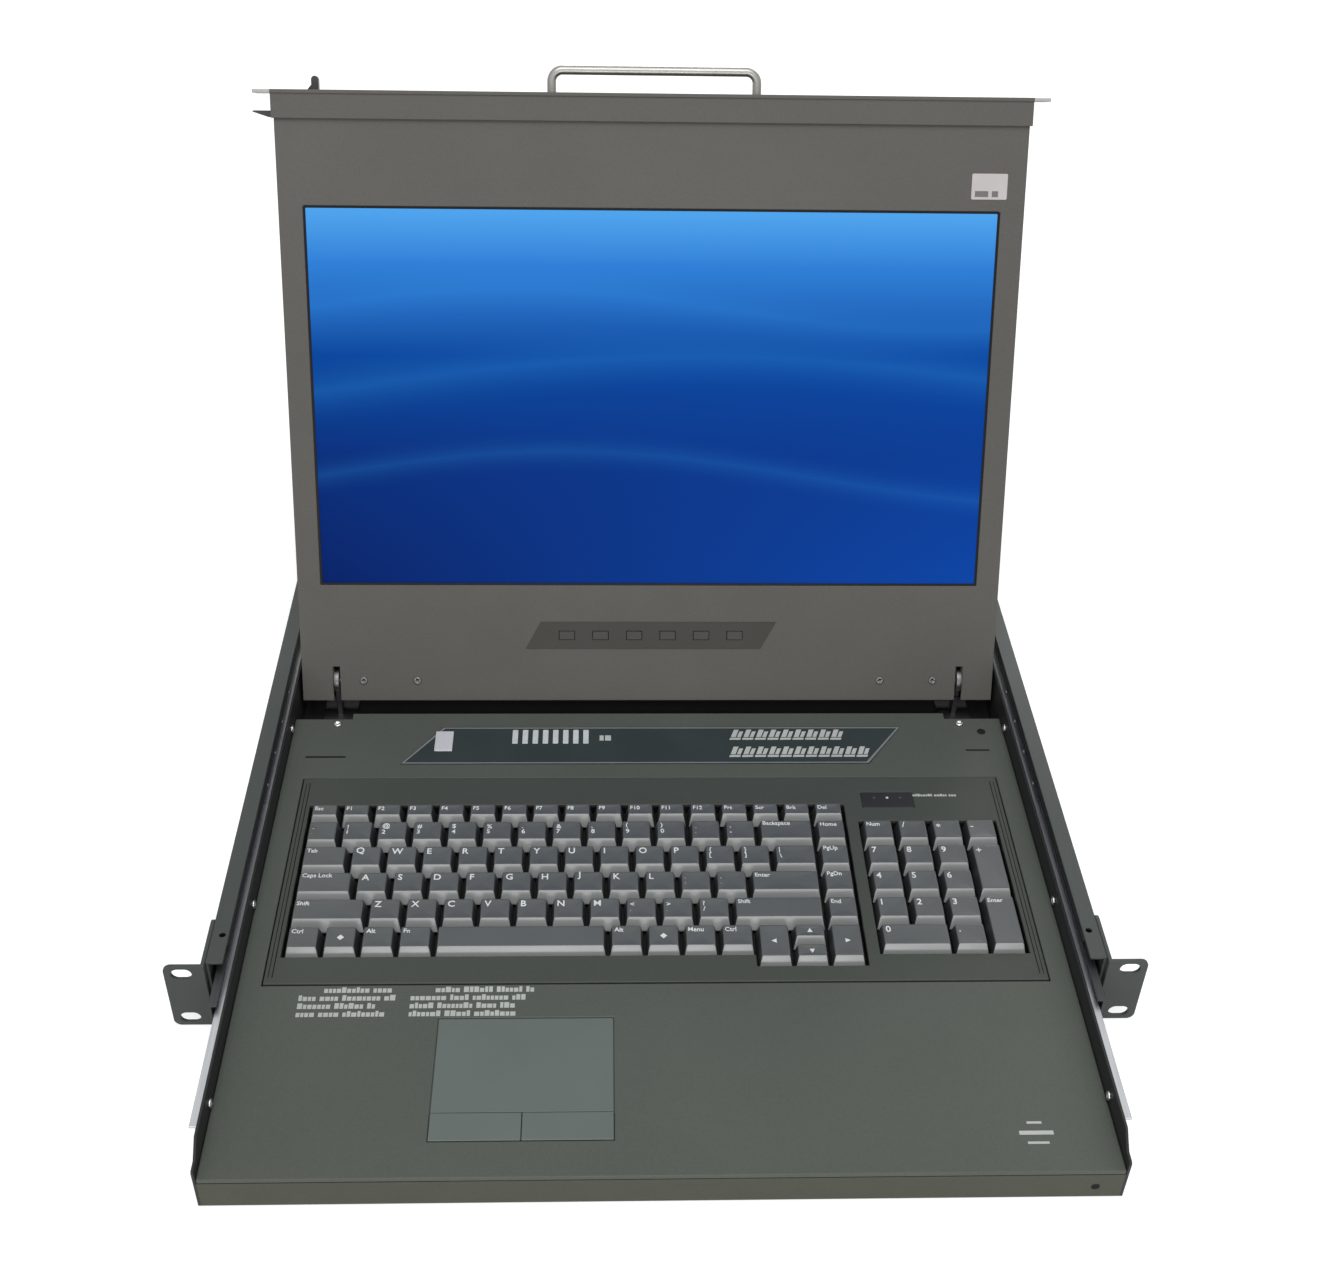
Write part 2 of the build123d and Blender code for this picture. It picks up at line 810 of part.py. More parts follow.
def indicator_lenses():
    """The lock-light window in the keyboard frame and the row of channel lights."""
    top = deck_top + frame_rise
    window = block(lock_window_x, lock_window_x + lock_window_width, lock_window_y,
                   lock_window_y + lock_window_depth, top - lens_thickness, top)
    lights = []
    for x in led_places():
        lights.append(block(x - led_width / 2, x + led_width / 2, led_y - led_depth / 2,
                            led_y + led_depth / 2, deck_top, deck_top + panel_sheet + light_proud))
    return group([window] + lights)


def led_places():
    return [led_first_x + index * led_pitch for index in range(led_count)]


# Touchpad and control panel

def touchpad():
    """The pad and the carrier under it, which leaves a well for the two buttons."""
    carrier = block(pad_left - pad_rim, pad_right + pad_rim, pad_front - pad_rim, pad_back + pad_rim,
                    deck_under - pad_block, deck_under)
    well_floor = deck_top + pad_button_proud - pad_button_height - pad_travel - pad_button_gap
    clear = button_clearance
    well = block(pad_left - clear, pad_right + clear, pad_front - clear, pad_button_back,
                 well_floor, deck_top)
    pad = block(pad_left, pad_right, pad_button_back, pad_back, deck_under, deck_top - pad_recess)
    return carrier - well + pad


def pad_button(x0, x1):
    top = deck_top + pad_button_proud
    return block(x0, x1, pad_front, pad_button_back - pad_split, top - pad_button_height, top)


def left_pad_button():
    return pad_button(pad_left, (pad_left + pad_right - pad_split) / 2)


def right_pad_button():
    return pad_button((pad_left + pad_right + pad_split) / 2, pad_right)


def select_hole(z0, z1):
    half_x = select_width / 2 + button_clearance
    half_y = select_depth / 2 + button_clearance
    return block(select_x - half_x, select_x + half_x, select_y - half_y, select_y + half_y, z0, z1)


def select_button():
    return block(select_x - select_width / 2, select_x + select_width / 2, select_y - select_depth / 2,
                 select_y + select_depth / 2, select_bottom, deck_top + select_proud)


def control_panel():
    """A thin slanted membrane with holes for the select button and the lights."""
    outline = [(panel_front_left, panel_front_y), (panel_front_right, panel_front_y),
               (panel_front_right + panel_lean, panel_back_y), (panel_front_left + panel_lean, panel_back_y)]
    sheet = plate_xy(outline, deck_top, deck_top + panel_sheet)
    sheet -= select_hole(deck_top - over, deck_top + panel_sheet + over)
    for x in led_places():
        sheet -= block(x - led_width / 2, x + led_width / 2, led_y - led_depth / 2, led_y + led_depth / 2,
                       deck_top - over, deck_top + panel_sheet + over)
    return sheet


def board_on_posts(x0, x1, y0, y1, top, floor):
    """A circuit board with a post under each corner."""
    board = block(x0, x1, y0, y1, top - board_sheet, top)
    inset = standoff_d
    for x in (x0 + inset, x1 - inset):
        for y in (y0 + inset, y1 - inset):
            board += rod_z(x, y, floor, top - board_sheet, standoff_d / 2)
    return board


def control_board():
    front = panel_front_y - control_board_margin
    return board_on_posts(panel_front_left, panel_front_right, front, panel_back_y,
                          control_board_top, tray_floor)


# Electronics bay

def bay_cover():
    top = block(-wall_in, wall_in, bay_start, tray_depth, bay_top - bay_sheet, bay_top)
    riser = block(-wall_in, wall_in, bay_start, bay_start + bay_sheet, tray_floor, bay_top - bay_sheet)
    cover = top + riser
    for side in (-1, 1):
        x0, x1 = sorted([side * wall_in, side * (wall_in - bay_sheet)])
        cover += block(x0, x1, bay_start, tray_depth, bay_skirt_bottom, bay_top - bay_sheet)
    vent_start = bay_start + bay_vent_inset
    for x in vent_places():
        cover -= block(x, x + vent_width, vent_start, vent_start + vent_length,
                       bay_top - bay_sheet - over, bay_top + over)
    return cover


def port_places():
    return [port_first_x + index * port_pitch for index in range(port_count)]


def panel_hole(x, z, width, height):
    half_x, half_z = width / 2 + button_clearance, height / 2 + button_clearance
    return block(x - half_x, x + half_x, tray_depth - bay_sheet - over, tray_depth + over,
                 z - half_z, z + half_z)


def rear_panel():
    """The connectors' panel and, beside it, the plate that holds the mains inlet."""
    half = wall_in - bay_sheet
    split = inlet_x - inlet_width / 2 - inlet_flange - inlet_plate_margin
    y0, y1 = tray_depth - bay_sheet, tray_depth
    panel = block(-half, split, y0, y1, tray_floor, bay_top - bay_sheet)
    for x in port_places():
        panel -= panel_hole(x, port_z, port_shell_width, port_shell_height)
    plate = block(split, half, y0, y1, tray_floor, bay_top - bay_sheet)
    plate -= panel_hole(inlet_x, inlet_z, inlet_width, inlet_height)
    return group([panel, plate])


def port_connectors():
    """A row of video connectors on the switch board, their shells out through the panel."""
    panel_in = tray_depth - bay_sheet
    ports = []
    for x in port_places():
        flange = block(x - port_width / 2, x + port_width / 2, panel_in - port_flange_sheet, panel_in,
                       port_z - port_height / 2, port_z + port_height / 2)
        body = block(x - port_shell_width / 2, x + port_shell_width / 2, panel_in - port_body_depth,
                     panel_in - port_flange_sheet, kvm_board_z, port_z + port_shell_height / 2)
        half_top, half_bottom = port_shell_width / 2, port_shell_width / 2 - port_taper
        z0, z1 = port_z - port_shell_height / 2, port_z + port_shell_height / 2
        shell = plate_xz([(x - half_bottom, z0), (x + half_bottom, z0), (x + half_top, z1),
                          (x - half_top, z1)], panel_in, tray_depth + port_shell_out)
        ports.append(flange + body + shell)
    return group(ports)


def kvm_board():
    board_front = tray_depth - bay_sheet - port_body_depth - kvm_board_depth
    left = port_first_x - port_width / 2
    right = port_first_x + (port_count - 1) * port_pitch + port_width / 2
    board_back = tray_depth - bay_sheet - port_flange_sheet
    return board_on_posts(left, right, board_front, board_back, kvm_board_z, tray_floor)


def power_inlet():
    """A mains inlet: a flanged cup with three flat pins."""
    y_in = tray_depth - inlet_depth
    half_x, half_z = inlet_width / 2, inlet_height / 2
    cup = block(inlet_x - half_x, inlet_x + half_x, y_in, tray_depth + inlet_flange_sheet,
                inlet_z - half_z, inlet_z + half_z)
    cup += block(inlet_x - half_x - inlet_flange, inlet_x + half_x + inlet_flange, tray_depth,
                 tray_depth + inlet_flange_sheet, inlet_z - half_z - inlet_flange_edge,
                 inlet_z + half_z + inlet_flange_edge)
    cup -= block(inlet_x - half_x + inlet_wall, inlet_x + half_x - inlet_wall, y_in + 3 * inlet_wall,
                 tray_depth + inlet_flange_sheet + over, inlet_z - half_z + inlet_wall,
                 inlet_z + half_z - inlet_wall)
    pin_start = y_in + 3 * inlet_wall
    half = inlet_pin_width / 2
    pins = []
    for step in (-1, 0, 1):
        x = inlet_x + step * inlet_pin_pitch
        z = inlet_z - inlet_pin_drop + (inlet_earth_rise if step == 0 else 0.0)
        pins.append(block(x - inlet_pin_sheet / 2, x + inlet_pin_sheet / 2, pin_start,
                          pin_start + inlet_pin_length, z - half, z + half))
    return group([cup] + pins)


def power_supply():
    right = wall_in - bay_sheet - supply_side_gap
    front = bay_start + bay_sheet + supply_front_gap
    return block(right - supply_width, right, front, front + supply_depth, tray_floor,
                 tray_floor + supply_height)


# Hinges

def hinge_arm():
    """A fixed arm that stands in the tray's well and enters a slot in the display."""
    x0, x1 = arm_x - arm_sheet / 2, arm_x + arm_sheet / 2
    arm = rod_x(x0, x1, hinge_y, hinge_z, arm_round)
    arm += block(x0, x1, hinge_y - arm_half_width, hinge_y + arm_half_width, tray_floor, hinge_z)
    arm += block(arm_x - arm_foot_width / 2, arm_x + arm_foot_width / 2, hinge_y - arm_foot_depth / 2,
                 hinge_y + arm_foot_depth / 2, tray_floor, tray_floor + arm_foot_sheet)
    return arm - rod_x(x0 - over, x1 + over, hinge_y, hinge_z, pin_d / 2 + pin_running)


def leaf_faces():
    inner = arm_x - arm_sheet / 2 - leaf_gap
    outer = arm_x + arm_sheet / 2 + leaf_gap
    return [(inner - leaf_sheet, inner), (outer, outer + leaf_sheet)]


def hinge_leaf():
    """The display's half of a hinge: two ears beside the arm on a plate behind."""
    (x0, x1), (x2, x3) = leaf_faces()
    face = shell_in - leaf_back
    leaf = block(x0, x3, face, shell_in, leaf_foot, leaf_height)
    ear = [(0, -leaf_eye), (face, leaf_foot), (face, leaf_height / 2), (-leaf_eye, 0)]
    for left, right in ((x0, x1), (x2, x3)):
        leaf += rod_x(left, right, 0, 0, leaf_eye)
        leaf += plate_yz(ear, left, right)
    for left, right in ((x0, x1), (x2, x3)):
        leaf -= rod_x(left - over, right + over, 0, 0, pin_d / 2 + pin_seat)
    return leaf


def hinge_pin():
    (x0, _), (_, x3) = leaf_faces()
    return rod_x(x0 - pin_end, x3 + pin_end, 0, 0, pin_d / 2)


# Display

def arm_slot_cutter():
    """Clears the fixed arm over the whole swing, through the bezel and the lower wall."""
    x0, x1 = arm_x - arm_slot / 2, arm_x + arm_slot / 2
    front = block(x0, x1, bezel_front - over, bezel_back + over, -below_hinge - over, slot_above_hinge)
    under = block(x0, x1, bezel_front - over, shell_in - slot_wall_gap,
                  -below_hinge - over, -below_hinge + display_sheet + over)
    return front + under


def display_shell():
    """The sheet case behind the bezel: back, two sides, bottom and top."""
    low, high = -below_hinge, plate_in
    case = block(-display_half_width, display_half_width, bezel_back, shell_back, low, high)
    half = display_half_width - display_sheet
    case -= block(-half, half, bezel_back - over, shell_in, low + display_sheet, high - display_sheet)
    case -= arm_slot_cutter() + mirror(arm_slot_cutter(), about=Plane.YZ)
    clear = latch_clearance
    case -= block(-display_half_width - over, -half + over, latch_low - clear, latch_high + clear,
                  latch_low_h - clear, latch_top + clear)
    case -= thumb_slot(high - display_sheet - over, high + over)
    for x in vent_places():
        case -= block(x, x + vent_width, shell_in - over, shell_back + over,
                      display_vent_low, display_vent_low + vent_length)
    return case


def thumb_slot(h0, h1):
    clear = latch_clearance
    return block(-thumb_x - thumb_width / 2 - clear, -thumb_x + thumb_width / 2 + latch_travel + clear,
                 latch_low - clear, latch_high + clear, h0, h1)


def osd_places():
    middle = (osd_left + osd_right + osd_lean) / 2
    first = middle - (osd_count - 1) * osd_pitch / 2
    return [first + index * osd_pitch for index in range(osd_count)]


def osd_holes(clear):
    h = (osd_low + osd_high) / 2
    half_x, half_h = osd_button_width / 2 + clear, osd_button_height / 2 + clear
    return [block(x - half_x, x + half_x, bezel_front - over, bezel_back + over, h - half_h, h + half_h)
            for x in osd_places()]


def display_bezel():
    sheet = block(-display_half_width, display_half_width, bezel_front, bezel_back, -below_hinge, plate_in)
    sheet -= block(-screen_width / 2, screen_width / 2, bezel_front - over, bezel_back + over,
                   screen_bottom, screen_top)
    sheet -= arm_slot_cutter() + mirror(arm_slot_cutter(), about=Plane.YZ)
    for hole in osd_holes(button_clearance):
        sheet -= hole
    for x, h in display_screw_places():
        sheet -= rod_y(x, bezel_front - over, bezel_back + over, h, screw_shank_d / 2 + hole_play)
    return sheet


def display_screw_places():
    return [(side * x, bezel_screw_h) for side in (-1, 1) for x in bezel_screw_x]


def display_screws():
    screws = []
    for x, h in display_screw_places():
        head = rod_y(x, bezel_front - thin_head, bezel_front, h, small_head_d / 2)
        screws.append(head + rod_y(x, bezel_front, bezel_back + screw_bite, h, screw_shank_d / 2))
    return group(screws)


def screen_panel():
    half = screen_width / 2 + panel_border
    return block(-half, half, bezel_back, bezel_back + panel_thickness,
                 screen_bottom - panel_border, screen_top + panel_border)


def screen_backlight():
    half = screen_width / 2 + panel_border + backlight_border
    border = panel_border + backlight_border
    y0 = bezel_back + panel_thickness
    return block(-half, half, y0, y0 + backlight_thickness, screen_bottom - border, screen_top + border)


def display_board():
    """The screen's driver board on four posts from the case's back."""
    y0 = bezel_back + panel_thickness + backlight_thickness + driver_gap
    x1, h1 = driver_left + driver_width, driver_low + driver_height
    board = block(driver_left, x1, y0, y0 + board_sheet, driver_low, h1)
    for x in (driver_left + standoff_d, x1 - standoff_d):
        for h in (driver_low + standoff_d, h1 - standoff_d):
            board += rod_y(x, y0 + board_sheet, shell_in, h, standoff_d / 2)
    return board


def osd_membrane():
    outline = [(osd_left, osd_low), (osd_right, osd_low), (osd_right + osd_lean, osd_high),
               (osd_left + osd_lean, osd_high)]
    sheet = plate_xz(outline, bezel_front - osd_sheet, bezel_front)
    for hole in osd_holes(button_clearance):
        sheet -= hole
    return sheet


def osd_buttons():
    h = (osd_low + osd_high) / 2
    y0 = bezel_front - osd_sheet - osd_button_proud
    return group([block(x - osd_button_width / 2, x + osd_button_width / 2, y0, y0 + osd_button_depth,
                        h - osd_button_height / 2, h + osd_button_height / 2) for x in osd_places()])


# Front plate, handle and latch

def front_plate():
    """A shouldered plate across the display's free end, with a lip folded over the bezel."""
    low, shoulder, high = plate_bottom - hinge_z, plate_shoulder_z - hinge_z, plate_top - hinge_z
    plate = block(-plate_half_width, plate_half_width, shoulder, high, plate_in, reach)
    plate += block(-plate_shoulder, plate_shoulder, low, shoulder, plate_in, reach)
    plate += block(-plate_shoulder, plate_shoulder, bezel_front - lip_sheet, bezel_front,
                   plate_in - lip_width, plate_in)
    plate -= thumb_slot(plate_in - over, reach + over)
    for side in (-1, 1):
        x = side * (handle_span - handle_rod_d) / 2
        plate -= rod_z(x, handle_depth, plate_in - over, reach + over, handle_rod_d / 2 + pin_seat)
    return plate


def pull_handle():
    """A bent rod whose two legs pass through the front plate."""
    x = (handle_span - handle_rod_d) / 2
    top = reach + handle_reach - handle_rod_d / 2
    path = FilletPolyline((-x, handle_depth, plate_in), (-x, handle_depth, top),
                          (x, handle_depth, top), (x, handle_depth, plate_in), radius=handle_bend)
    section = Plane(origin=(-x, handle_depth, plate_in), z_dir=(0, 0, 1)) * Circle(handle_rod_d / 2)
    return sweep(section, path=path)


def latch_slider():
    """The tongue, its bar inside the display and the thumb piece in front."""
    bar = block(-latch_reach, -latch_inner, latch_low, latch_high, latch_low_h, latch_top)
    thumb = block(-thumb_x - thumb_width / 2, -thumb_x + thumb_width / 2, latch_low, latch_high,
                  latch_top, reach + thumb_out)
    return bar + thumb


def spring_middle():
    return (latch_low + latch_high) / 2, (latch_low_h + latch_top) / 2


def latch_spring():
    """A small compression spring between the latch bar and its stop."""
    y, h = spring_middle()
    coil = Helix(spring_length / spring_turns, spring_length - spring_wire, spring_d / 2)
    start = coil @ 0
    section = Plane(origin=start, z_dir=coil % 0) * Circle(spring_wire / 2)
    spring = sweep(section, path=coil)
    return Pos(-latch_inner + spring_wire / 2, y, h) * Rot(0, 90, 0) * spring


def latch_stop():
    """The block on the case's back that the spring pushes against."""
    x0 = -latch_inner + spring_length + spring_wire
    return block(x0, x0 + spring_stop, latch_low, shell_in, latch_low_h, latch_top)


def keys_by_node():
    nodes = {}
    for node, left, right, front, back in key_cells():
        nodes.setdefault(node, []).append(key_cap(left, right, front, back))
    return {node: on_tray(group(caps)) for node, caps in nodes.items()}


def build():
    """Every node's name and its shape in the object's frame."""
    rail = right_rail()
    left_rail = mirror(rail, about=Plane.YZ) - latch_window(-rail_out - over, -rail_in + over)
    ear = right_ear()
    left_ear = mirror(ear, about=Plane.YZ) - latch_window(-rail_out - ear_sheet - over, -rail_out + over)
    bracket = right_rear_bracket()
    outer, middle, inner = right_outer_member(), right_middle_member(), right_inner_member()
    nodes = {
        "rail_right": in_rack(rail),
        "rail_left": in_rack(left_rail),
        "ear_right": in_rack(ear),
        "ear_left": in_rack(left_ear),
        "rear_bracket_right": in_rack(bracket),
        "rear_bracket_left": in_rack(mirror(bracket, about=Plane.YZ)),
        "rear_crossbar": in_rack(rear_crossbar()),
        "rail_screws": in_rack(rail_screws()),
        "slide_outer_right": in_rack(outer),
        "slide_outer_left": in_rack(mirror(outer, about=Plane.YZ)),
        "slide_middle_right": in_rack(middle),
        "slide_middle_left": in_rack(mirror(middle, about=Plane.YZ)),
        "ball_cages_outer": in_rack(outer_cages()),
        "ball_cages_inner": in_rack(inner_cages()),
        "slide_inner_right": on_tray(inner),
        "slide_inner_left": on_tray(mirror(inner, about=Plane.YZ)),
        "tray": on_tray(tray()),
        "deck_plate": on_tray(deck()),
        "drawer_screws": on_tray(drawer_screws()),
        "keyboard_base": on_tray(keyboard_base()),
        "dome_sheet": on_tray(dome_sheet()),
        "indicator_lenses": on_tray(indicator_lenses()),
        "touchpad": on_tray(touchpad()),
        "pad_button_left": on_tray(left_pad_button()),
        "pad_button_right": on_tray(right_pad_button()),
        "control_panel": on_tray(control_panel()),
        "select_button": on_tray(select_button()),
        "control_board": on_tray(control_board()),
        "bay_cover": on_tray(bay_cover()),
        "rear_panel": on_tray(rear_panel()),
        "port_connectors": on_tray(port_connectors()),
        "kvm_board": on_tray(kvm_board()),
        "power_inlet": on_tray(power_inlet()),
        "power_supply": on_tray(power_supply()),
        "hinge_arms": on_tray(both_sides(hinge_arm())),
        "hinge_leaves": on_display(both_sides(hinge_leaf())),
        "hinge_pins": on_display(both_sides(hinge_pin())),
        "display_shell": on_display(display_shell() + latch_stop()),
        "display_bezel": on_display(display_bezel()),
        "display_screws": on_display(display_screws()),
        "screen_panel": on_display(screen_panel()),
        "screen_backlight": on_display(screen_backlight()),
        "display_board": on_display(display_board()),
        "osd_membrane": on_display(osd_membrane()),
        "osd_buttons": on_display(osd_buttons()),
        "front_plate": on_display(front_plate()),
        "pull_handle": on_display(pull_handle()),
        "latch_slider": on_display(latch_slider()),
        "latch_spring": on_display(latch_spring()),
    }
    nodes.update(keys_by_node())
    return nodes


os.makedirs("parts", exist_ok=True)
for name, shape in build().items():
    export_step(shape, "parts/" + name + ".step")
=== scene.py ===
import json
import math
import random

import bmesh
import bpy
from mathutils import Matrix, Vector


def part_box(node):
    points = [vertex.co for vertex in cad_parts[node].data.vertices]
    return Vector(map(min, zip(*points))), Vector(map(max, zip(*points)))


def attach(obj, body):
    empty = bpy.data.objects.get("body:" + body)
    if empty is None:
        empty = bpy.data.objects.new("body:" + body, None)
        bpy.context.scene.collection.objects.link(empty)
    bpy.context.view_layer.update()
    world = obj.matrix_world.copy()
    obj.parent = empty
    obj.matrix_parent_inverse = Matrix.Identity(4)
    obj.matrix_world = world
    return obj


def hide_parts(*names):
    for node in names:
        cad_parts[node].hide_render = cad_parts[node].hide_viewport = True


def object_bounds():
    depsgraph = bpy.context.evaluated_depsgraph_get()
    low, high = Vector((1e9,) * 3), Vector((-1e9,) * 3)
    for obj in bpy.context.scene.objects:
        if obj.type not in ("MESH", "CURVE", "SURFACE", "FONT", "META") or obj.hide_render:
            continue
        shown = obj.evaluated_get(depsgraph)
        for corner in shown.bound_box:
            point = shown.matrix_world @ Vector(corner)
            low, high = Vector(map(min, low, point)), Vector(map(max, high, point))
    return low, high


# The looks of a one-unit rack console drawer, in metres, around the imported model.
# Most of the model's own pieces keep their shapes, some with their edges eased. Keys, screws, lights,
# prints, the latch and the connectors are drawn in full detail, in place of the model's plain ones.

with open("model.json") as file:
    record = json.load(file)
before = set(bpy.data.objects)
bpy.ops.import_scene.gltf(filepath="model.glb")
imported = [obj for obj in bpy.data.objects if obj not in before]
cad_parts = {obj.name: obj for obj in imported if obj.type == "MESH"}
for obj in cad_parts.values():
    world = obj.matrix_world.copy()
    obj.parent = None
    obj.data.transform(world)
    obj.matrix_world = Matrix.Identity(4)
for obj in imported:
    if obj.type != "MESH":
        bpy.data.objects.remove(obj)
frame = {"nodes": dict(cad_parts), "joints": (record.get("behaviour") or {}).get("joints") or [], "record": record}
cad_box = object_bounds()
nodes = frame["nodes"]
record = frame["record"]
slot_of = {part["node"]: part["material_slot"] for part in record["subparts"]}
body_of = {node: body for body, members in record["behaviour"]["bodies"].items() for node in members}
joints = {joint["name"]: joint for joint in frame["joints"]}

MM = 0.001
weld_distance = 0.001 * MM
print_thickness = 0.04 * MM
unmoved = Matrix.Identity(4)

# The photograph's camera, found from the rack ears and the tray's straight edges
camera_place = Vector((-0.0286, -0.5567, 0.6568))
camera_yaw = math.radians(2.474)
camera_pitch = math.radians(37.836)
camera_roll = math.radians(1.56)
focal_in_pixels = 1698.2
photo_width = 1320
sensor_width = 36.0


# Frames and places

def display_frame():
    """A frame on the hinge axis: X to the right, Y into the screen and Z up the screen."""
    into = Vector(joints["osd_press"]["axis"])
    right = Vector((1, 0, 0))
    matrix = Matrix((right, into, right.cross(into))).transposed().to_4x4()
    return Matrix.Translation(joints["display_hinge"]["pos_m"]) @ matrix


def corners(points):
    low = Vector([min(p[axis] for p in points) for axis in range(3)])
    high = Vector([max(p[axis] for p in points) for axis in range(3)])
    return low, high


def points_on_display(node):
    back = on_display.inverted()
    return [back @ v.co for v in nodes[node].data.vertices]


def box_on_display(node):
    return corners(points_on_display(node))


def loose_parts(node, matrix=unmoved):
    """The lowest and highest corner of each separate solid of a node, from front left to back right."""
    mesh = nodes[node].data
    place = [tuple(round(c, 6) for c in v.co) for v in mesh.vertices]
    parent = {p: p for p in place}

    def root(p):
        while parent[p] != p:
            parent[p] = parent[parent[p]]
            p = parent[p]
        return p

    for edge in mesh.edges:
        parent[root(place[edge.vertices[0]])] = root(place[edge.vertices[1]])
    groups = {}
    for p in parent:
        groups.setdefault(root(p), []).append(matrix @ Vector(p))
    return sorted((corners(points) for points in groups.values()),
                  key=lambda box: (round(box[1].y, 3), box[0].x))


def on_top_of(node):
    """A frame for prints, over the middle of the deck's front edge and as high as a piece's top."""
    return Matrix.Translation((0.0, deck_low.y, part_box(node)[1].z))


on_display = display_frame()
deck_low, deck_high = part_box("deck_plate")
on_deck, on_panel, on_keyboard = map(on_top_of, ("deck_plate", "control_panel", "keyboard_base"))
on_bezel = (on_display @ Matrix.Translation((0.0, box_on_display("display_bezel")[0].y, 0.0))
            @ Matrix.Rotation(math.radians(90), 4, "X"))


# Materials

white = (1.0, 1.0, 1.0)
materials = {}


def tone(colour, factor):
    return tuple(min(1.0, channel * factor) for channel in colour)


class Nodes:
    """A node tree, with short calls for its nodes."""

    def __init__(self, owner):
        owner.use_nodes = True
        self.tree = owner.node_tree

    def feed(self, value, target):
        """Links another socket to the target, or sets it to a number, a colour or a vector."""
        if isinstance(value, bpy.types.NodeSocket):
            self.tree.links.new(value, target)
        elif target.type == "RGBA":
            target.default_value = tuple(value) + (1.0,)
        else:
            target.default_value = value

    def add(self, kind, inputs=None, **settings):
        """A new node with its settings, and some of its inputs linked or set."""
        node = self.tree.nodes.new(kind)
        for name, value in settings.items():
            setattr(node, name, value)
        for name, value in (inputs or {}).items():
            self.feed(value, node.inputs[name])
        return node

    def math(self, operation, first, second=0.0, clamp=False):
        inputs = {0: first, 1: second}
        return self.add("ShaderNodeMath", inputs, operation=operation, use_clamp=clamp).outputs[0]

    def span(self, source, low, high, first=0.0, last=1.0):
        """Maps first to last onto low to high."""
        inputs = {"Value": source, "From Min": first, "From Max": last, "To Min": low, "To Max": high}
        return self.add("ShaderNodeMapRange", inputs).outputs["Result"]

    def seen_directly(self):
        """1 for rays from the camera, a gloss or glass, so that they show a white background."""
        rays = self.add("ShaderNodeLightPath").outputs
        total = rays["Is Camera Ray"]
        for name in ("Is Glossy Ray", "Is Transmission Ray"):
            total = self.math("MAXIMUM", total, rays[name])
        return total


class Finish(Nodes):
    """A material, with short calls for what most finishes share."""

    def __init__(self, name, roughness, metallic=0.0, specular=0.5):
        self.material = bpy.data.materials.new(name)
        super().__init__(self.material)
        self.shader = self.tree.nodes["Principled BSDF"]
        self.roughness = roughness
        self.set("Roughness", roughness)
        self.set("Metallic", metallic)
        self.set("Specular IOR Level", specular)
        self.place = self.add("ShaderNodeTexCoord").outputs["Object"]
        self.normal = None
        materials[name] = self.material

    def set(self, name, value):
        self.feed(value, self.shader.inputs[name])

    def noise(self, scale, detail=2.0, stretch=None):
        place = self.place
        if stretch:
            place = self.add("ShaderNodeMapping", {"Vector": place, "Scale": stretch}).outputs["Vector"]
        node = self.add("ShaderNodeTexNoise", {"Vector": place, "Scale": scale, "Detail": detail})
        return node.outputs["Fac"]

    def ramp(self, source, stops):
        node = self.add("ShaderNodeValToRGB", {"Fac": source})
        elements = node.color_ramp.elements
        while len(elements) < len(stops):
            elements.new(0.5)
        for element, (position, colour) in zip(elements, stops):
            element.position = position
            element.color = tuple(colour) + (1.0,)
        return node.outputs["Color"]

    def uneven(self, source, colour, darker, paler, soft=0.3):
        """The colour between a darker and a paler tone of it. soft is where the change starts and ends."""
        return self.ramp(source, [(soft, tone(colour, darker)), (1 - soft, tone(colour, paler))])

    def mix(self, factor, first, second, blend="MIX"):
        inputs = {0: factor, 6: first, 7: second}
        return self.add("ShaderNodeMix", inputs, data_type="RGBA", blend_type=blend).outputs[2]

    def gloss(self, source, smoother, rougher):
        """An uneven roughness about the material's own."""
        return self.span(source, self.roughness - smoother, self.roughness + rougher)

    def bevelled(self, radius):
        return self.add("ShaderNodeBevel", {"Radius": radius}, samples=4).outputs["Normal"]

    def rounded(self, radius):
        """Shades sharp edges as if they were rounded."""
        self.normal = self.bevelled(radius)

    def edges(self, radius):
        """1 along edges and 0 on flat faces."""
        flat = self.add("ShaderNodeNewGeometry").outputs["Normal"]
        dot = self.add("ShaderNodeVectorMath", {0: self.bevelled(radius), 1: flat}, operation="DOT_PRODUCT")
        away = self.math("SUBTRACT", 1.0, dot.outputs["Value"], clamp=True)
        return self.math("MULTIPLY", away, 3.0, clamp=True)

    def bump(self, height, strength, distance):
        inputs = {"Height": height, "Strength": strength, "Distance": distance}
        if self.normal:
            inputs["Normal"] = self.normal
        self.normal = self.add("ShaderNodeBump", inputs).outputs["Normal"]

    def light(self, colour, strength):
        """Gives off light of its own."""
        self.set("Emission Color", colour)
        self.set("Emission Strength", strength)

    def finish(self, colour, roughness=None):
        for name, value in (("Base Color", colour), ("Roughness", roughness), ("Normal", self.normal)):
            if value:
                self.set(name, value)

    def paint(self, colour, paler, wear_and_edge_highlight):
        """Puts a fine grain, paler edges and an uneven gloss over a coat of paint. The paler edges are wear, and
        on the two-tone coats also a painted highlight along the edges.
        """
        grain = self.noise(1500.0)
        colour = self.mix(1.0, colour, self.uneven(grain, white, 0.45, 0.55), "OVERLAY")
        scuffs_and_edge_highlight = self.math("MULTIPLY", self.edges(0.5 * MM), self.noise(160.0, 3.0), clamp=True)
        colour = self.mix(self.math("MULTIPLY", scuffs_and_edge_highlight, wear_and_edge_highlight), colour, paler)
        self.rounded(0.4 * MM)
        self.bump(grain, 0.16, 0.08 * MM)
        self.finish(colour, self.gloss(self.noise(40.0, 3.0), 0.06, 0.08))


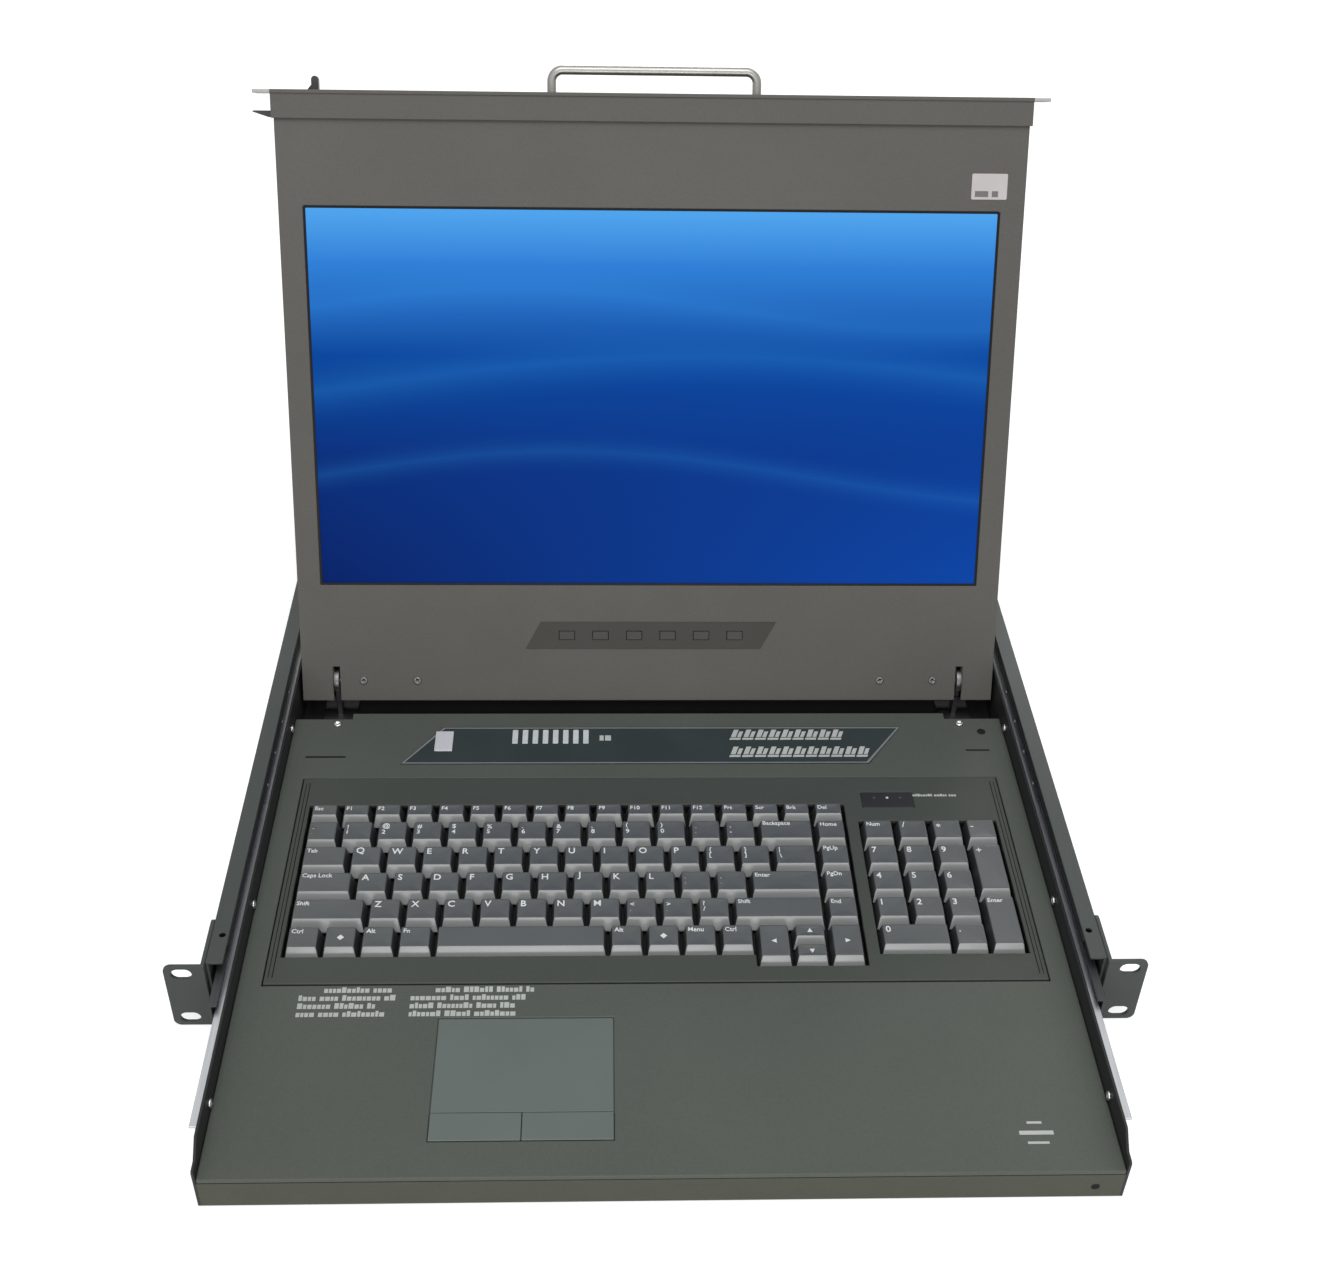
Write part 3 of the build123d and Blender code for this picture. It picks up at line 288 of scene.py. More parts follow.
def powder_coat(name, colour, roughness=0.5):
    """Satin paint with slight clouding."""
    look = Finish(name, roughness, specular=0.3)
    look.paint(look.uneven(look.noise(7.0, 4.0), colour, 0.92, 1.08), tone(colour, 2.6), 0.35)


def two_tone_coat(name, low, high, inner, outer):
    """The outer coat where the place lies between two corners, the inner coat elsewhere."""
    look = Finish(name, 0.5, specular=0.3)
    parts = look.add("ShaderNodeSeparateXYZ", {0: look.place})
    inside = 1.0
    for axis, first, last in zip("XYZ", low, high):
        above = look.math("GREATER_THAN", parts.outputs[axis], first)
        below = look.math("LESS_THAN", parts.outputs[axis], last)
        inside = look.math("MULTIPLY", look.math("MULTIPLY", above, below), inside)
    coats = look.mix(inside, inner, outer)
    clouds = look.uneven(look.noise(7.0, 4.0), white, 0.92, 1.0)
    # Paler edges here are partly wear and partly a painted highlight, such as the light line along the tray's
    # front edge.
    paler = look.mix(1.0, coats, (0.10, 0.105, 0.085), "ADD")
    look.paint(look.mix(1.0, coats, clouds, "MULTIPLY"), paler, 0.5)


def moulded(name, colour, roughness=0.5, grain=0.12, edge=0.3 * MM, specular=0.5):
    """Moulded plastic with a spark-eroded grain and rubbed edges."""
    look = Finish(name, roughness, specular=specular)
    clouds = look.uneven(look.noise(18.0, 3.0), colour, 0.94, 1.06)
    rubbed = look.math("MULTIPLY", look.edges(edge), 0.25)
    look.rounded(edge)
    look.bump(look.noise(2400.0, 1.0), grain, 0.05 * MM)
    look.finish(look.mix(rubbed, clouds, tone(colour, 1.9)), look.gloss(look.noise(60.0), 0.05, 0.06))


def brushed(name, colour, roughness=0.35, along=(60.0, 1.0, 60.0)):
    """Plated sheet with the fine lines that rolling leaves."""
    look = Finish(name, roughness, metallic=1.0)
    lines = look.noise(40.0, 4.0, along)
    look.rounded(0.2 * MM)
    look.bump(lines, 0.08, 0.05 * MM)
    gloss = look.gloss(look.noise(25.0, 3.0, along), 0.08, 0.12)
    look.finish(look.uneven(lines, colour, 0.82, 1.12, 0.25), gloss)


def printed_film(name, colour, roughness=0.35):
    """A thin printed film with a faint orange peel."""
    look = Finish(name, roughness, specular=0.2)
    look.rounded(0.15 * MM)
    look.bump(look.noise(500.0), 0.06, 0.05 * MM)
    look.finish(look.uneven(look.noise(30.0), colour, 0.93, 1.07))


def circuit_board(name):
    """Green mask with the lines of tracks under it."""
    look = Finish(name, 0.35)
    inputs = {"Vector": look.place, "Scale": 220.0, "Mortar Size": 0.03, "Color1": (0.02, 0.13, 0.05),
              "Color2": (0.02, 0.15, 0.06), "Mortar": (0.05, 0.24, 0.10)}
    look.rounded(0.1 * MM)
    look.finish(look.add("ShaderNodeTexBrick", inputs, offset=0.5).outputs["Color"])


def lit(name, colour, strength):
    """A small lamp behind a frosted lens."""
    look = Finish(name, 0.3)
    glow = look.uneven(look.noise(300.0, 1.0), colour, 0.9, 1.0)
    look.light(glow, strength)
    look.finish(glow)


# The level, swing, turns, half width and strength of each of the screen's pale bands
screen_bands = ((0.30, 0.07, 4.2, 0.06, 0.10), (0.52, 0.10, 2.7, 0.10, 0.14), (0.74, 0.05, 5.1, 0.08, 0.12))


def soft_band(look, across, up, base, band):
    """A pale band that swings across the screen."""
    level, swing, turns, half_width, strength = band
    wave = look.math("SINE", look.math("MULTIPLY", across, turns))
    middle = look.math("ADD", look.math("MULTIPLY", wave, swing), level)
    distance = look.math("ABSOLUTE", look.math("SUBTRACT", up, middle))
    fade = look.math("SUBTRACT", 1.0, look.math("DIVIDE", distance, half_width), clamp=True)
    soft = look.math("MULTIPLY", look.math("MULTIPLY", fade, fade), strength)
    return look.mix(soft, base, (0.04, 0.36, 0.95))


def screen_picture(name):
    """A lit blue picture: pale at the top, deep at the bottom left, with three soft bands."""
    low, high = box_on_display("screen_panel")
    look = Finish(name, 0.5, specular=0.02)
    into = on_display @ Matrix.Translation(low)
    inputs = {"Vector": look.place, "Location": into.translation, "Rotation": into.to_euler(),
              "Scale": (high.x - low.x, 1.0, high.z - low.z)}
    place = look.add("ShaderNodeMapping", inputs, vector_type="TEXTURE").outputs["Vector"]
    parts = look.add("ShaderNodeSeparateXYZ", {0: place})
    across, up = parts.outputs["X"], parts.outputs["Z"]
    base = look.ramp(up, [(0.0, (0.0, 0.014, 0.13)), (0.35, (0.0, 0.026, 0.20)),
                          (0.62, (0.0, 0.062, 0.34)), (0.85, (0.026, 0.210, 0.68)),
                          (1.0, (0.085, 0.390, 0.87))])
    lower_right = look.math("MULTIPLY", across, look.math("SUBTRACT", 0.8, up, clamp=True))
    base = look.mix(lower_right, base, (0.002, 0.070, 0.44))
    for band in screen_bands:
        base = soft_band(look, across, up, base, band)
    look.light(base, 1.0)
    look.finish((0.002, 0.002, 0.003))


plastic_green = (0.060, 0.068, 0.058)
# Painted shade for the keyboard's well, seen between the keys.
well_painted_shade = (0.008, 0.008, 0.008)
paint_warm = (0.110, 0.105, 0.095)
plate_warm = tone(paint_warm, 1.02)
all_ways = (30.0, 30.0, 30.0)
sideways = (1.0, 60.0, 60.0)

powder_coat("frame_paint", (0.056, 0.064, 0.059), 0.48)
powder_coat("tray_paint", (0.078, 0.082, 0.070))
powder_coat("deck_paint", (0.088, 0.098, 0.084))
powder_coat("bezel_paint", paint_warm, 0.55)
powder_coat("display_paint", tone(paint_warm, 0.95))
powder_coat("plate_paint", plate_warm)
powder_coat("rear_paint", (0.055, 0.055, 0.055))
brushed("zinc", (0.50, 0.51, 0.53), 0.38)
# Zinc darkened as painted shade, for the slides that lie in the shade between rail and tray.
brushed("slide_zinc_painted_shade", (0.075, 0.078, 0.080), 0.55)
brushed("bearing_steel", (0.22, 0.22, 0.22), 0.4)
brushed("hinge_steel", (0.16, 0.16, 0.16), 0.42, sideways)
brushed("pin_steel", (0.55, 0.55, 0.55), 0.25, sideways)
brushed("screw_steel", (0.72, 0.72, 0.70), 0.25, all_ways)
brushed("screw_black", (0.16, 0.16, 0.155), 0.38, all_ways)
brushed("spring_steel", (0.45, 0.45, 0.45), 0.3)
brushed("supply_steel", (0.55, 0.55, 0.54), 0.42)
brushed("backlight_steel", (0.50, 0.50, 0.50), 0.45)
brushed("connector_metal", (0.68, 0.68, 0.70), 0.22, (40.0, 2.0, 2.0))
brushed("handle_metal", (0.30, 0.295, 0.28), 0.34, (2.0, 60.0, 60.0))
moulded("latch_black", (0.030, 0.030, 0.030), 0.4)
moulded("keyboard_plastic", plastic_green)
moulded("keycap", (0.098, 0.106, 0.104), 0.36, edge=0.25 * MM)
# Painted highlight on the keys' front slopes and painted shade on their side and back slopes, standing in for how
# the light falls on them.
moulded("key_front_painted_highlight", (0.370, 0.385, 0.380), 0.34, edge=0.25 * MM)
moulded("key_side_painted_shade", (0.030, 0.034, 0.034), edge=0.25 * MM)
moulded("dome_rubber", (0.02, 0.02, 0.02), 0.7)
moulded("pad_plastic", (0.118, 0.144, 0.132), 0.42, grain=0.05)
moulded("select_plastic", (0.62, 0.62, 0.66), 0.35, edge=0.6 * MM)
moulded("lens", (0.010, 0.011, 0.010), 0.45, grain=0.0)
moulded("inlet_plastic", (0.018, 0.018, 0.018), 0.4)
# Black rubber, also used as painted shade for the deck's slots and hole and the frame's grooves.
moulded("gasket_and_painted_shade", (0.010, 0.010, 0.011), 0.4, specular=0.12)
# Black for the lamp's lens and the connector's body, and painted shade for pin holes and bores.
moulded("black_and_hole_shade", (0.006, 0.006, 0.006), 0.6, specular=0.12)
moulded("connector_blue", (0.008, 0.045, 0.22), 0.4)
printed_film("membrane", (0.038, 0.050, 0.050))
printed_film("membrane_button", (0.080, 0.086, 0.086))
printed_film("menu_film", (0.046, 0.044, 0.038), 0.4)
printed_film("menu_button", (0.058, 0.056, 0.050), 0.4)
printed_film("legend_ink", (0.80, 0.82, 0.82), 0.6)
printed_film("print_ink", (0.52, 0.54, 0.51), 0.6)
printed_film("outline_ink", (0.22, 0.23, 0.23), 0.5)
printed_film("label_paper", (0.62, 0.58, 0.58), 0.55)
printed_film("label_print", (0.20, 0.19, 0.19), 0.6)
lit("light_bar", (0.55, 0.58, 0.58), 0.15)
circuit_board("board")
screen_picture("screen")


# Which material each of the model's pieces wears: its slot's, or one of its own

fold = 1.3 * MM
well_depth = 1.5 * MM
margin = Vector((fold, fold, fold))
look_of = dict(slot_of, osd_membrane="menu_film", osd_buttons="menu_button", tray="tray_coat_and_painted_shade",
               keyboard_base="keyboard_coat_and_painted_shade", front_plate="plate_coats")
# The outer and middle slides take the darkened zinc, painted shade between rail and tray.
for side in ("left", "right"):
    for member in ("slide_outer_", "slide_middle_"):
        look_of[member + side] = "slide_zinc_painted_shade"


def coat_tray_with_painted_shade():
    """The tray is painted near-black but for its front face: painted shade on its walls and the rest."""
    low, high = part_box("tray")
    side_plate = (high.x - deck_high.x) * 1.02
    two_tone_coat("tray_coat_and_painted_shade", (low.x + side_plate, low.y - fold, low.z - fold),
                  (high.x - side_plate, low.y + fold, high.z + fold), (0.016, 0.017, 0.016),
                  (0.066, 0.071, 0.049))


def coat_keyboard():
    """The keyboard's well under the keys is painted black, painted shade between the keys, and its frame has the
    plastic's colour.
    """
    low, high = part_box("keyboard_base")
    well_top = deck_high.z - well_depth
    two_tone_coat("keyboard_coat_and_painted_shade", (low.x - fold, low.y - fold, well_top), high + margin, well_painted_shade,
                  plastic_green)


def coat_front_plate():
    """The front plate's two ends, beyond the display's sides, are bare and pale."""
    points = points_on_display("front_plate")
    lowest = min(p.z for p in points)
    shoulder = max(p.x for p in points if p.z < lowest + fold)
    two_tone_coat("plate_coats", (-shoulder, -1.0, -1.0), (shoulder, 1.0, 1.0), (0.50, 0.50, 0.49),
                  plate_warm)


coat_tray_with_painted_shade()
coat_keyboard()
coat_front_plate()
for name, piece in nodes.items():
    look = materials[look_of[name]]
    if not piece.material_slots:
        piece.data.materials.append(look)
    for place in piece.material_slots:
        place.material = look


# Mesh building

def rounded_rectangle(x0, x1, y0, y1, radius, steps=4):
    """Points round a rectangle with round corners, anticlockwise from the lower right."""
    points = []
    for x, y, start in ((x1 - radius, y0 + radius, -90), (x1 - radius, y1 - radius, 0),
                        (x0 + radius, y1 - radius, 90), (x0 + radius, y0 + radius, 180)):
        for step in range(steps + 1):
            angle = math.radians(start + 90 * step / steps)
            points.append((x + radius * math.cos(angle), y + radius * math.sin(angle)))
    return points


def polar(reach_at, x=0.0, y=0.0, count=24):
    """Points anticlockwise round a middle, each as far out as reach_at says for its angle."""
    points = []
    for index in range(count):
        angle = 2 * math.pi * index / count
        reach = reach_at(angle)
        points.append((x + reach * math.cos(angle), y + reach * math.sin(angle)))
    return points


def disc(radius, x=0.0, y=0.0, count=24):
    return polar(lambda angle: radius, x, y, count)


def level_ring(outline, z):
    return [(x, y, z) for x, y in outline]


def add_loops(bm, rings, matrix):
    return [[bm.verts.new(matrix @ Vector(point)) for point in ring] for ring in rings]


def skin(bm, loops):
    """Faces between each loop of vertices and the next."""
    faces = []
    for lower, upper in zip(loops, loops[1:]):
        for index in range(len(lower)):
            after = (index + 1) % len(lower)
            faces.append(bm.faces.new((lower[index], lower[after], upper[after], upper[index])))
    return faces


def add_loft(bm, rings, matrix=unmoved, material=0, smooth=True):
    """Skins a stack of rings, which turn anticlockwise seen from the last, and closes both ends."""
    loops = add_loops(bm, rings, matrix)
    faces = skin(bm, loops)
    faces.append(bm.faces.new(loops[-1]))
    faces.append(bm.faces.new(list(reversed(loops[0]))))
    for face in faces:
        face.material_index = material
        face.smooth = smooth


def add_slab(bm, outline, z0, z1, matrix=unmoved, material=0, edge=0.0):
    """A flat slab over an outline, with its upper edge eased by a small chamfer."""
    rings = [level_ring(outline, z0), level_ring(outline, z1 - edge)]
    if edge:
        middle_x = sum(x for x, y in outline) / len(outline)
        middle_y = sum(y for x, y in outline) / len(outline)
        half_x = max(abs(x - middle_x) for x, y in outline)
        half_y = max(abs(y - middle_y) for x, y in outline)
        rings.append([(middle_x + (x - middle_x) * (1 - edge / half_x),
                       middle_y + (y - middle_y) * (1 - edge / half_y), z1) for x, y in outline])
    add_loft(bm, rings, matrix, material, smooth=False)


def add_print(bm, outline, matrix=unmoved, material=0, level=0.0):
    """A flat print on a surface that lies at a level."""
    add_slab(bm, outline, level, level + print_thickness, matrix, material)


def add_ring(bm, outer, inner, z0, z1, matrix=unmoved):
    """A closed band between two outlines with as many points."""
    steps = ((outer, z0), (outer, z1), (inner, z1), (inner, z0))
    loops = add_loops(bm, [level_ring(outline, z) for outline, z in steps], matrix)
    skin(bm, loops + loops[:1])


def facing(point, direction, turn=0.0):
    """A matrix at a point with its Z along a direction, turned about it."""
    rotation = Vector(direction).to_track_quat("Z", "Y").to_matrix().to_4x4()
    return Matrix.Translation(point) @ rotation @ Matrix.Rotation(turn, 4, "Z")


def bar(x0, x1, y0, y1, lean=0.0):
    """The corners of a bar whose upper edge is shifted sideways by lean, all in millimetres."""
    return [(x * MM, y * MM) for x, y in ((x0, y0), (x1, y0), (x1 + lean, y1), (x0 + lean, y1))]


def make_piece(name, bm, body, looks, replaced=None):
    """Turns a bmesh into a piece that rides on a body, in place of one of the model's where it is named."""
    mesh = bpy.data.meshes.new(name)
    bmesh.ops.recalc_face_normals(bm, faces=bm.faces)
    bm.to_mesh(mesh)
    bm.free()
    for look in looks:
        mesh.materials.append(materials[look])
    piece = bpy.data.objects.new(name, mesh)
    bpy.context.scene.collection.objects.link(piece)
    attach(piece, body)
    if replaced:
        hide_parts(replaced)


def redraw(node, name, bm, looks):
    """A piece in place of one of the model's, on the same body."""
    make_piece(name, bm, body_of[node], looks, node)


# The model's own pieces with eased edges

edge_widths = {
    0.5 * MM: ("deck_plate", "select_button"),
    0.4 * MM: ("display_bezel", "display_shell", "keyboard_base", "ear_left", "ear_right", "bay_cover",
               "rear_bracket_left", "rear_bracket_right", "power_inlet"),
    0.3 * MM: ("front_plate", "touchpad", "pad_button_left", "pad_button_right", "rail_left", "rail_right",
               "rear_crossbar", "hinge_arms", "hinge_leaves", "slide_inner_left", "slide_inner_right"),
    0.15 * MM: ("osd_buttons",),
}
flat_angle = math.radians(1)
sharp_angle = math.radians(35)


def ease_edges(bm, width):
    """Rounds a closed mesh's sharp outward edges."""
    bmesh.ops.remove_doubles(bm, verts=bm.verts, dist=weld_distance)
    bmesh.ops.dissolve_limit(bm, angle_limit=flat_angle, verts=bm.verts, edges=bm.edges)
    sharp = [edge for edge in bm.edges if len(edge.link_faces) == 2 and edge.is_convex
             and edge.calc_face_angle() > sharp_angle]
    bmesh.ops.bevel(bm, geom=sharp, offset=width, offset_type="OFFSET", segments=2, profile=0.5,
                    affect="EDGES", clamp_overlap=False)


def ease_node(node, width):
    bm = bmesh.new()
    bm.from_mesh(nodes[node].data)
    ease_edges(bm, width)
    for face in bm.faces:
        face.material_index = 0
    redraw(node, node + "_eased", bm, [look_of[node]])


for width, eased in edge_widths.items():
    for node in eased:
        ease_node(node, width)


# Keys and their legends

key_looks = ("keycap", "legend_ink", "key_front_painted_highlight", "key_side_painted_shade")
ink_look, front_painted_highlight, side_painted_shade = 1, 2, 3
steep = 0.7
key_height = 7.6 * MM
key_side_slope = 1.6 * MM
key_front_slope = 3.2 * MM
key_back_slope = 1.5 * MM
key_corner = 0.9 * MM
smallest_corner = 0.2 * MM
key_edge = 0.45 * MM
key_dish = 0.35 * MM
key_stem = 4.0 * MM
stem_overlap = 0.3 * MM
wide_key = 40.0 * MM

letter_height = 3.9 * MM
word_height = 2.6 * MM
capital_share = 0.7
letter_lift = 0.08 * MM
letter_root = 0.04 * MM
stroke_gain = 0.022
letter_inset = 1.6 * MM
word_inset = 1.1 * MM
word_margin = 1.8 * MM
legend_drop = 1.3 * MM
sign_step = 0.98 * letter_height
tall_sign = 0.75 * letter_height
small_sign = 0.35 * letter_height
small_signs = "~-_=+.,'\"*`^;:"
arrow_turns = {"right": 0, "up": 90, "left": 180, "down": 270}
arrow_corners = (0, 125, 235)
arrow_size = 1.7 * MM
diamond_corners = (0, 90, 180, 270)
diamond_size = 1.8 * MM

legends = {
    "function_keys": ["Esc"] + ["F%d" % number for number in range(1, 13)] + ["Prt", "Scr", "Brk", "Del"],
    "number_keys": ["`~", "1!", "2@", "3#", "4$", "5%", "6^", "7&", "8*", "9(", "0)", "-_", "=+"],
    "backspace_key": ["Backspace"],
    "upper_letter_keys": ["Tab"] + list("QWERTYUIOP") + ["[{", "]}", "\\|"],
    "home_letter_keys": ["Caps Lock"] + list("ASDFGHJKL") + [";:", "'\""],
    "enter_key": ["Enter"],
    "lower_letter_keys": ["Shift"] + list("ZXCVBNM") + [",<", ".>", "/?", "Shift"],
    "modifier_keys": ["Ctrl", "diamond", "Alt", "Fn", "Alt", "diamond", "Menu", "Ctrl"],
    "space_bar": [""],
    "navigation_keys": ["down", "left", "up", "right", "End", "PgDn", "PgUp", "Home"],
    "keypad_keys": ["0", ".", "1", "2", "3", "Enter", "4", "5", "6", "7", "8", "9", "+",
                    "Num", "/", "*", "-"],
}


class KeyTop:
    """The face on top of a key, dished but on the widest key."""

    def __init__(self, low, high):
        x0, x1 = low.x + key_side_slope, high.x - key_side_slope
        y0, y1 = low.y + key_front_slope, high.y - key_back_slope
        self.x, self.y, self.z = (x0 + x1) / 2, (y0 + y1) / 2, high.z
        self.half_x, self.half_y = (x1 - x0) / 2, (y1 - y0) / 2
        self.dish = 0.0 if high.x - low.x > wide_key else key_dish

    def level(self, x, y, drop=key_edge / 4):
        """The height of the face, deepest in the middle, or of a ring that lies lower."""
        share = min(1.0, max(abs(x - self.x) / self.half_x, abs(y - self.y) / self.half_y))
        return self.z - drop - self.dish * (1 - share ** 2) * (1 - share ** 6)

    def ring(self, half_x, half_y, corner, drop=key_edge / 4):
        outline = rounded_rectangle(self.x - half_x, self.x + half_x,
                                    self.y - half_y, self.y + half_y, corner)
        return [(x, y, self.level(x, y, drop)) for x, y in outline]


def add_key(bm, low, high):
    """A key cap with sloping sides, rounded edges and a dished top, and its stem."""
    top = KeyTop(low, high)
    bottom = high.z - key_height
    rings = []
    for share in (0.0, 0.08, 0.5, 0.93):
        outline = rounded_rectangle(low.x + share * key_side_slope, high.x - share * key_side_slope,
                                    low.y + share * key_front_slope, high.y - share * key_back_slope,
                                    key_corner)
        rings.append([(x, y, bottom + share * key_height) for x, y in outline])
    for inset, drop in ((key_edge * 0.15, key_edge * 0.45), (key_edge, key_edge / 4)):
        corner = max(key_corner - inset, smallest_corner)
        rings.append(top.ring(top.half_x - inset, top.half_y - inset, corner, drop))
    for share in (0.88, 0.76, 0.64, 0.5, 0.36, 0.22, 0.1):
        rings.append(top.ring(top.half_x * share, top.half_y * share, key_corner * share))
    start = len(bm.faces)
    add_loft(bm, rings)
    bm.faces.ensure_lookup_table()
    bmesh.ops.recalc_face_normals(bm, faces=bm.faces[start:])
    # Front slopes get the paler material, a painted highlight; side and back slopes get the darker one, painted
    # shade.
    for face in bm.faces[start:]:
        if face.normal.y < -steep:
            face.material_index = front_painted_highlight
        elif abs(face.normal.x) > steep or face.normal.y > steep:
            face.material_index = side_painted_shade
    x, y, half = (low.x + high.x) / 2, (low.y + high.y) / 2, key_stem / 2
    stem = [(x - half, y - half), (x + half, y - half), (x + half, y + half), (x - half, y + half)]
    add_slab(bm, stem, low.z, bottom + stem_overlap)


def letter_mesh(words, height):
    """The words as thin raised letters, their lower left corner at the origin."""
    curve = bpy.data.curves.new("letters", "FONT")
    curve.body = words
    curve.size = height / capital_share
    curve.offset = height * stroke_gain
    curve.extrude = (letter_lift + letter_root) / 2
    curve.resolution_u = 3
    holder = bpy.data.objects.new("letters", curve)
    mesh = bpy.data.meshes.new_from_object(holder)
    bpy.data.objects.remove(holder)
    bm = bmesh.new()
    bm.from_mesh(mesh)
    bmesh.ops.remove_doubles(bm, verts=bm.verts, dist=weld_distance)
    bm.to_mesh(mesh)
    bm.free()
    mesh.transform(Matrix.Translation(-corners([v.co for v in mesh.vertices])[0]))
    return mesh


def add_legend(bm, legend, low, high):
    """Draws one key's legend on its top: a word, a letter, a pair of signs, an arrow or a diamond."""
    top = KeyTop(low, high)
    left, upper = top.x - top.half_x, top.y + top.half_y - legend_drop

    def write(words, height, x, y, room=math.inf):
        """Lays words on the face, smaller where they would be wider than their room."""
        mesh = letter_mesh(words, height)
        shrink = min(1.0, room / max(v.co.x for v in mesh.vertices))
        mesh.transform(Matrix.Translation((x, y, 0)) @ Matrix.Diagonal((shrink, shrink, 1, 1)))
        count = len(bm.verts)
        bm.from_mesh(mesh)
        bm.verts.ensure_lookup_table()
        for vertex in bm.verts[count:]:
            vertex.co.z += top.level(vertex.co.x, vertex.co.y) - letter_root
            for face in vertex.link_faces:
                face.material_index = ink_look
        bpy.data.meshes.remove(mesh)

    def draw(angles, turn, size):
        """Lays a sign with a few corners on the middle of the face."""
        points = []
        for angle in angles:
            a = math.radians(turn + angle)
            points.append((top.x + size * math.cos(a), top.y + size * math.sin(a)))
        rings = [[(x, y, top.level(x, y) + lift) for x, y in points]
                 for lift in (-letter_root, letter_lift)]
        add_loft(bm, rings, material=ink_look, smooth=False)

    if legend in arrow_turns:
        draw(arrow_corners, arrow_turns[legend], min(arrow_size, top.half_y * 0.5))
    elif legend == "diamond":
        draw(diamond_corners, 0, diamond_size)
    elif len(legend) == 1:
        height = min(letter_height, top.half_y * 0.9)
        write(legend, height, left + letter_inset, upper - height)
    elif len(legend) == 2 and not legend[1].isalnum():
        for sign, row in ((legend[1], 1), (legend[0], 2)):
            write(sign, small_sign if sign in small_signs else tall_sign, left + letter_inset,
                  upper - row * sign_step)
    elif legend:
        height = min(word_height, top.half_y * 0.8)
        write(legend, height, left + word_inset, upper - height, 2 * top.half_x - word_margin)


def make_keys(node):
    bm = bmesh.new()
    for legend, (low, high) in zip(legends[node], loose_parts(node)):
        add_key(bm, low, high)
        add_legend(bm, legend, low, high)
    redraw(node, "caps_" + node, bm, key_looks)


for node in legends:
    make_keys(node)


# Screws

head_height = {"rail_screws": 1.7 * MM, "drawer_screws": 1.2 * MM, "display_screws": 0.8 * MM}
screw_points = 48
recess_share = 0.5
recess_width = 0.16
recess_taper = (0.8, 0.7)
recess_floor = 0.4
dome_share = 0.45
dome_shrink = 0.28
shank_radius = 1.5 * MM
tray_inner = deck_high.x - 4.0 * MM


def cross(length, width):
    """The outline of a cross recess, with its arms along X and Y."""
    def reach_at(angle):
        folded = angle % (math.pi / 2)
        folded = min(folded, math.pi / 2 - folded)
        return length / math.cos(folded) if math.tan(folded) < width / length else width / math.sin(folded)

    return polar(reach_at, count=screw_points)


def add_screw(bm, matrix, radius, height):
    """A pan head with a cross recess, standing on the matrix's XY plane."""
    length, width = radius * recess_share, radius * recess_width
    steps = [(disc(radius, count=screw_points), 0.0), (disc(radius, count=screw_points), 1 - dome_share)]
    for share in (0.35, 0.7, 0.92, 1.0):
        bend = math.radians(90 * share)
        ring = disc(radius * (1 - dome_shrink * (1 - math.cos(bend))), count=screw_points)
        steps.append((ring, 1 - dome_share * (1 - math.sin(bend))))
    steps.append((cross(length, width), 1.0))
    steps.append((cross(length * recess_taper[0], width * recess_taper[1]), recess_floor))
    add_loft(bm, [level_ring(outline, height * share) for outline, share in steps], matrix)


def make_screws(node, direction_of, matrix=unmoved):
    """Detailed heads in place of a node's screws. direction_of says which way each head faces."""
    turns = random.Random(len(node))
    bm = bmesh.new()
    for low, high in loose_parts(node, matrix.inverted()):
        direction = Vector(direction_of((low + high) / 2))
        axis = max(range(3), key=lambda i: abs(direction[i]))
        outward = direction[axis] > 0
        across = 1 if axis == 0 else 0
        radius = (high[across] - low[across]) / 2
        foot = (low + high) / 2
        foot[axis] = high[axis] - head_height[node] if outward else low[axis] + head_height[node]
        place = matrix @ facing(foot, direction, turns.uniform(0, math.pi))
        add_screw(bm, place, radius, head_height[node])
        length = (high[axis] - low[axis]) - head_height[node]
        add_loft(bm, [level_ring(disc(shank_radius), z) for z in (-length, 0.0)], place)
    redraw(node, node + "_detailed", bm, [slot_of[node]])


make_screws("rail_screws", lambda p: (1 if p.x > 0 else -1, 0, 0))
make_screws("drawer_screws", lambda p: (0, 0, 1) if abs(p.x) < tray_inner else (-1 if p.x > 0 else 1, 0, 0))
make_screws("display_screws", lambda p: (0, -1, 0), on_display)


# Lights, prints and label, with their places in millimetres from the drawer's middle and the deck's
# front edge, or from the display's middle and its hinge

window_length = 10 * MM
window_corner = 1.2 * MM
bar_corner = 0.5 * MM
lens_edge = 0.1 * MM
lock_light_radius = 0.8 * MM
lock_light_rise = 1.5 * MM
notice_columns = ((-178.0, -132.0), (-123.0, -63.0))
notice_y = 91.5
notice_step = 5.0
notice_height = 3.5
notice_indent = 12.0
corner_mark_x = 172.0
corner_mark = ((3.5, 26.0, 1.3), (8.0, 20.0, 2.2), (5.0, 15.0, 1.3))
panel_sign_rows = ((46.0, 9, 294.5), (45.0, 11, 279.5))
panel_sign_step = 7.4
panel_sign = ((0.0, 6.4, 0.0, 1.8, 0.6), (1.0, 3.9, 2.4, 9.0, 2.2), (4.6, 6.9, 2.4, 7.4, 1.8))
panel_word = (-30.0, -23.0, 294.0, 6.0)
keyboard_word = (147.0, 172.0, 246.0, 2.0)
deck_slots = ((-199.0, -176.0, 280.5), (184.0, 198.0, 285.6))
deck_slot_half = 0.7
deck_hole = (196.0, 302.0)
deck_hole_radius = 2.6
panel_lean = 22.0
panel_line_inset = 0.4
panel_line_width = 0.9
sticker = (177.0, 197.0, 283.0, 297.0)
sticker_thickness = 0.12 * MM
sticker_blocks = ((179.0, 186.5), (188.5, 192.0))
sticker_block_rows = (284.4, 287.6)
grooves = ((0.28, 0.4), (0.55, 0.55))
groove_gap = 4.0


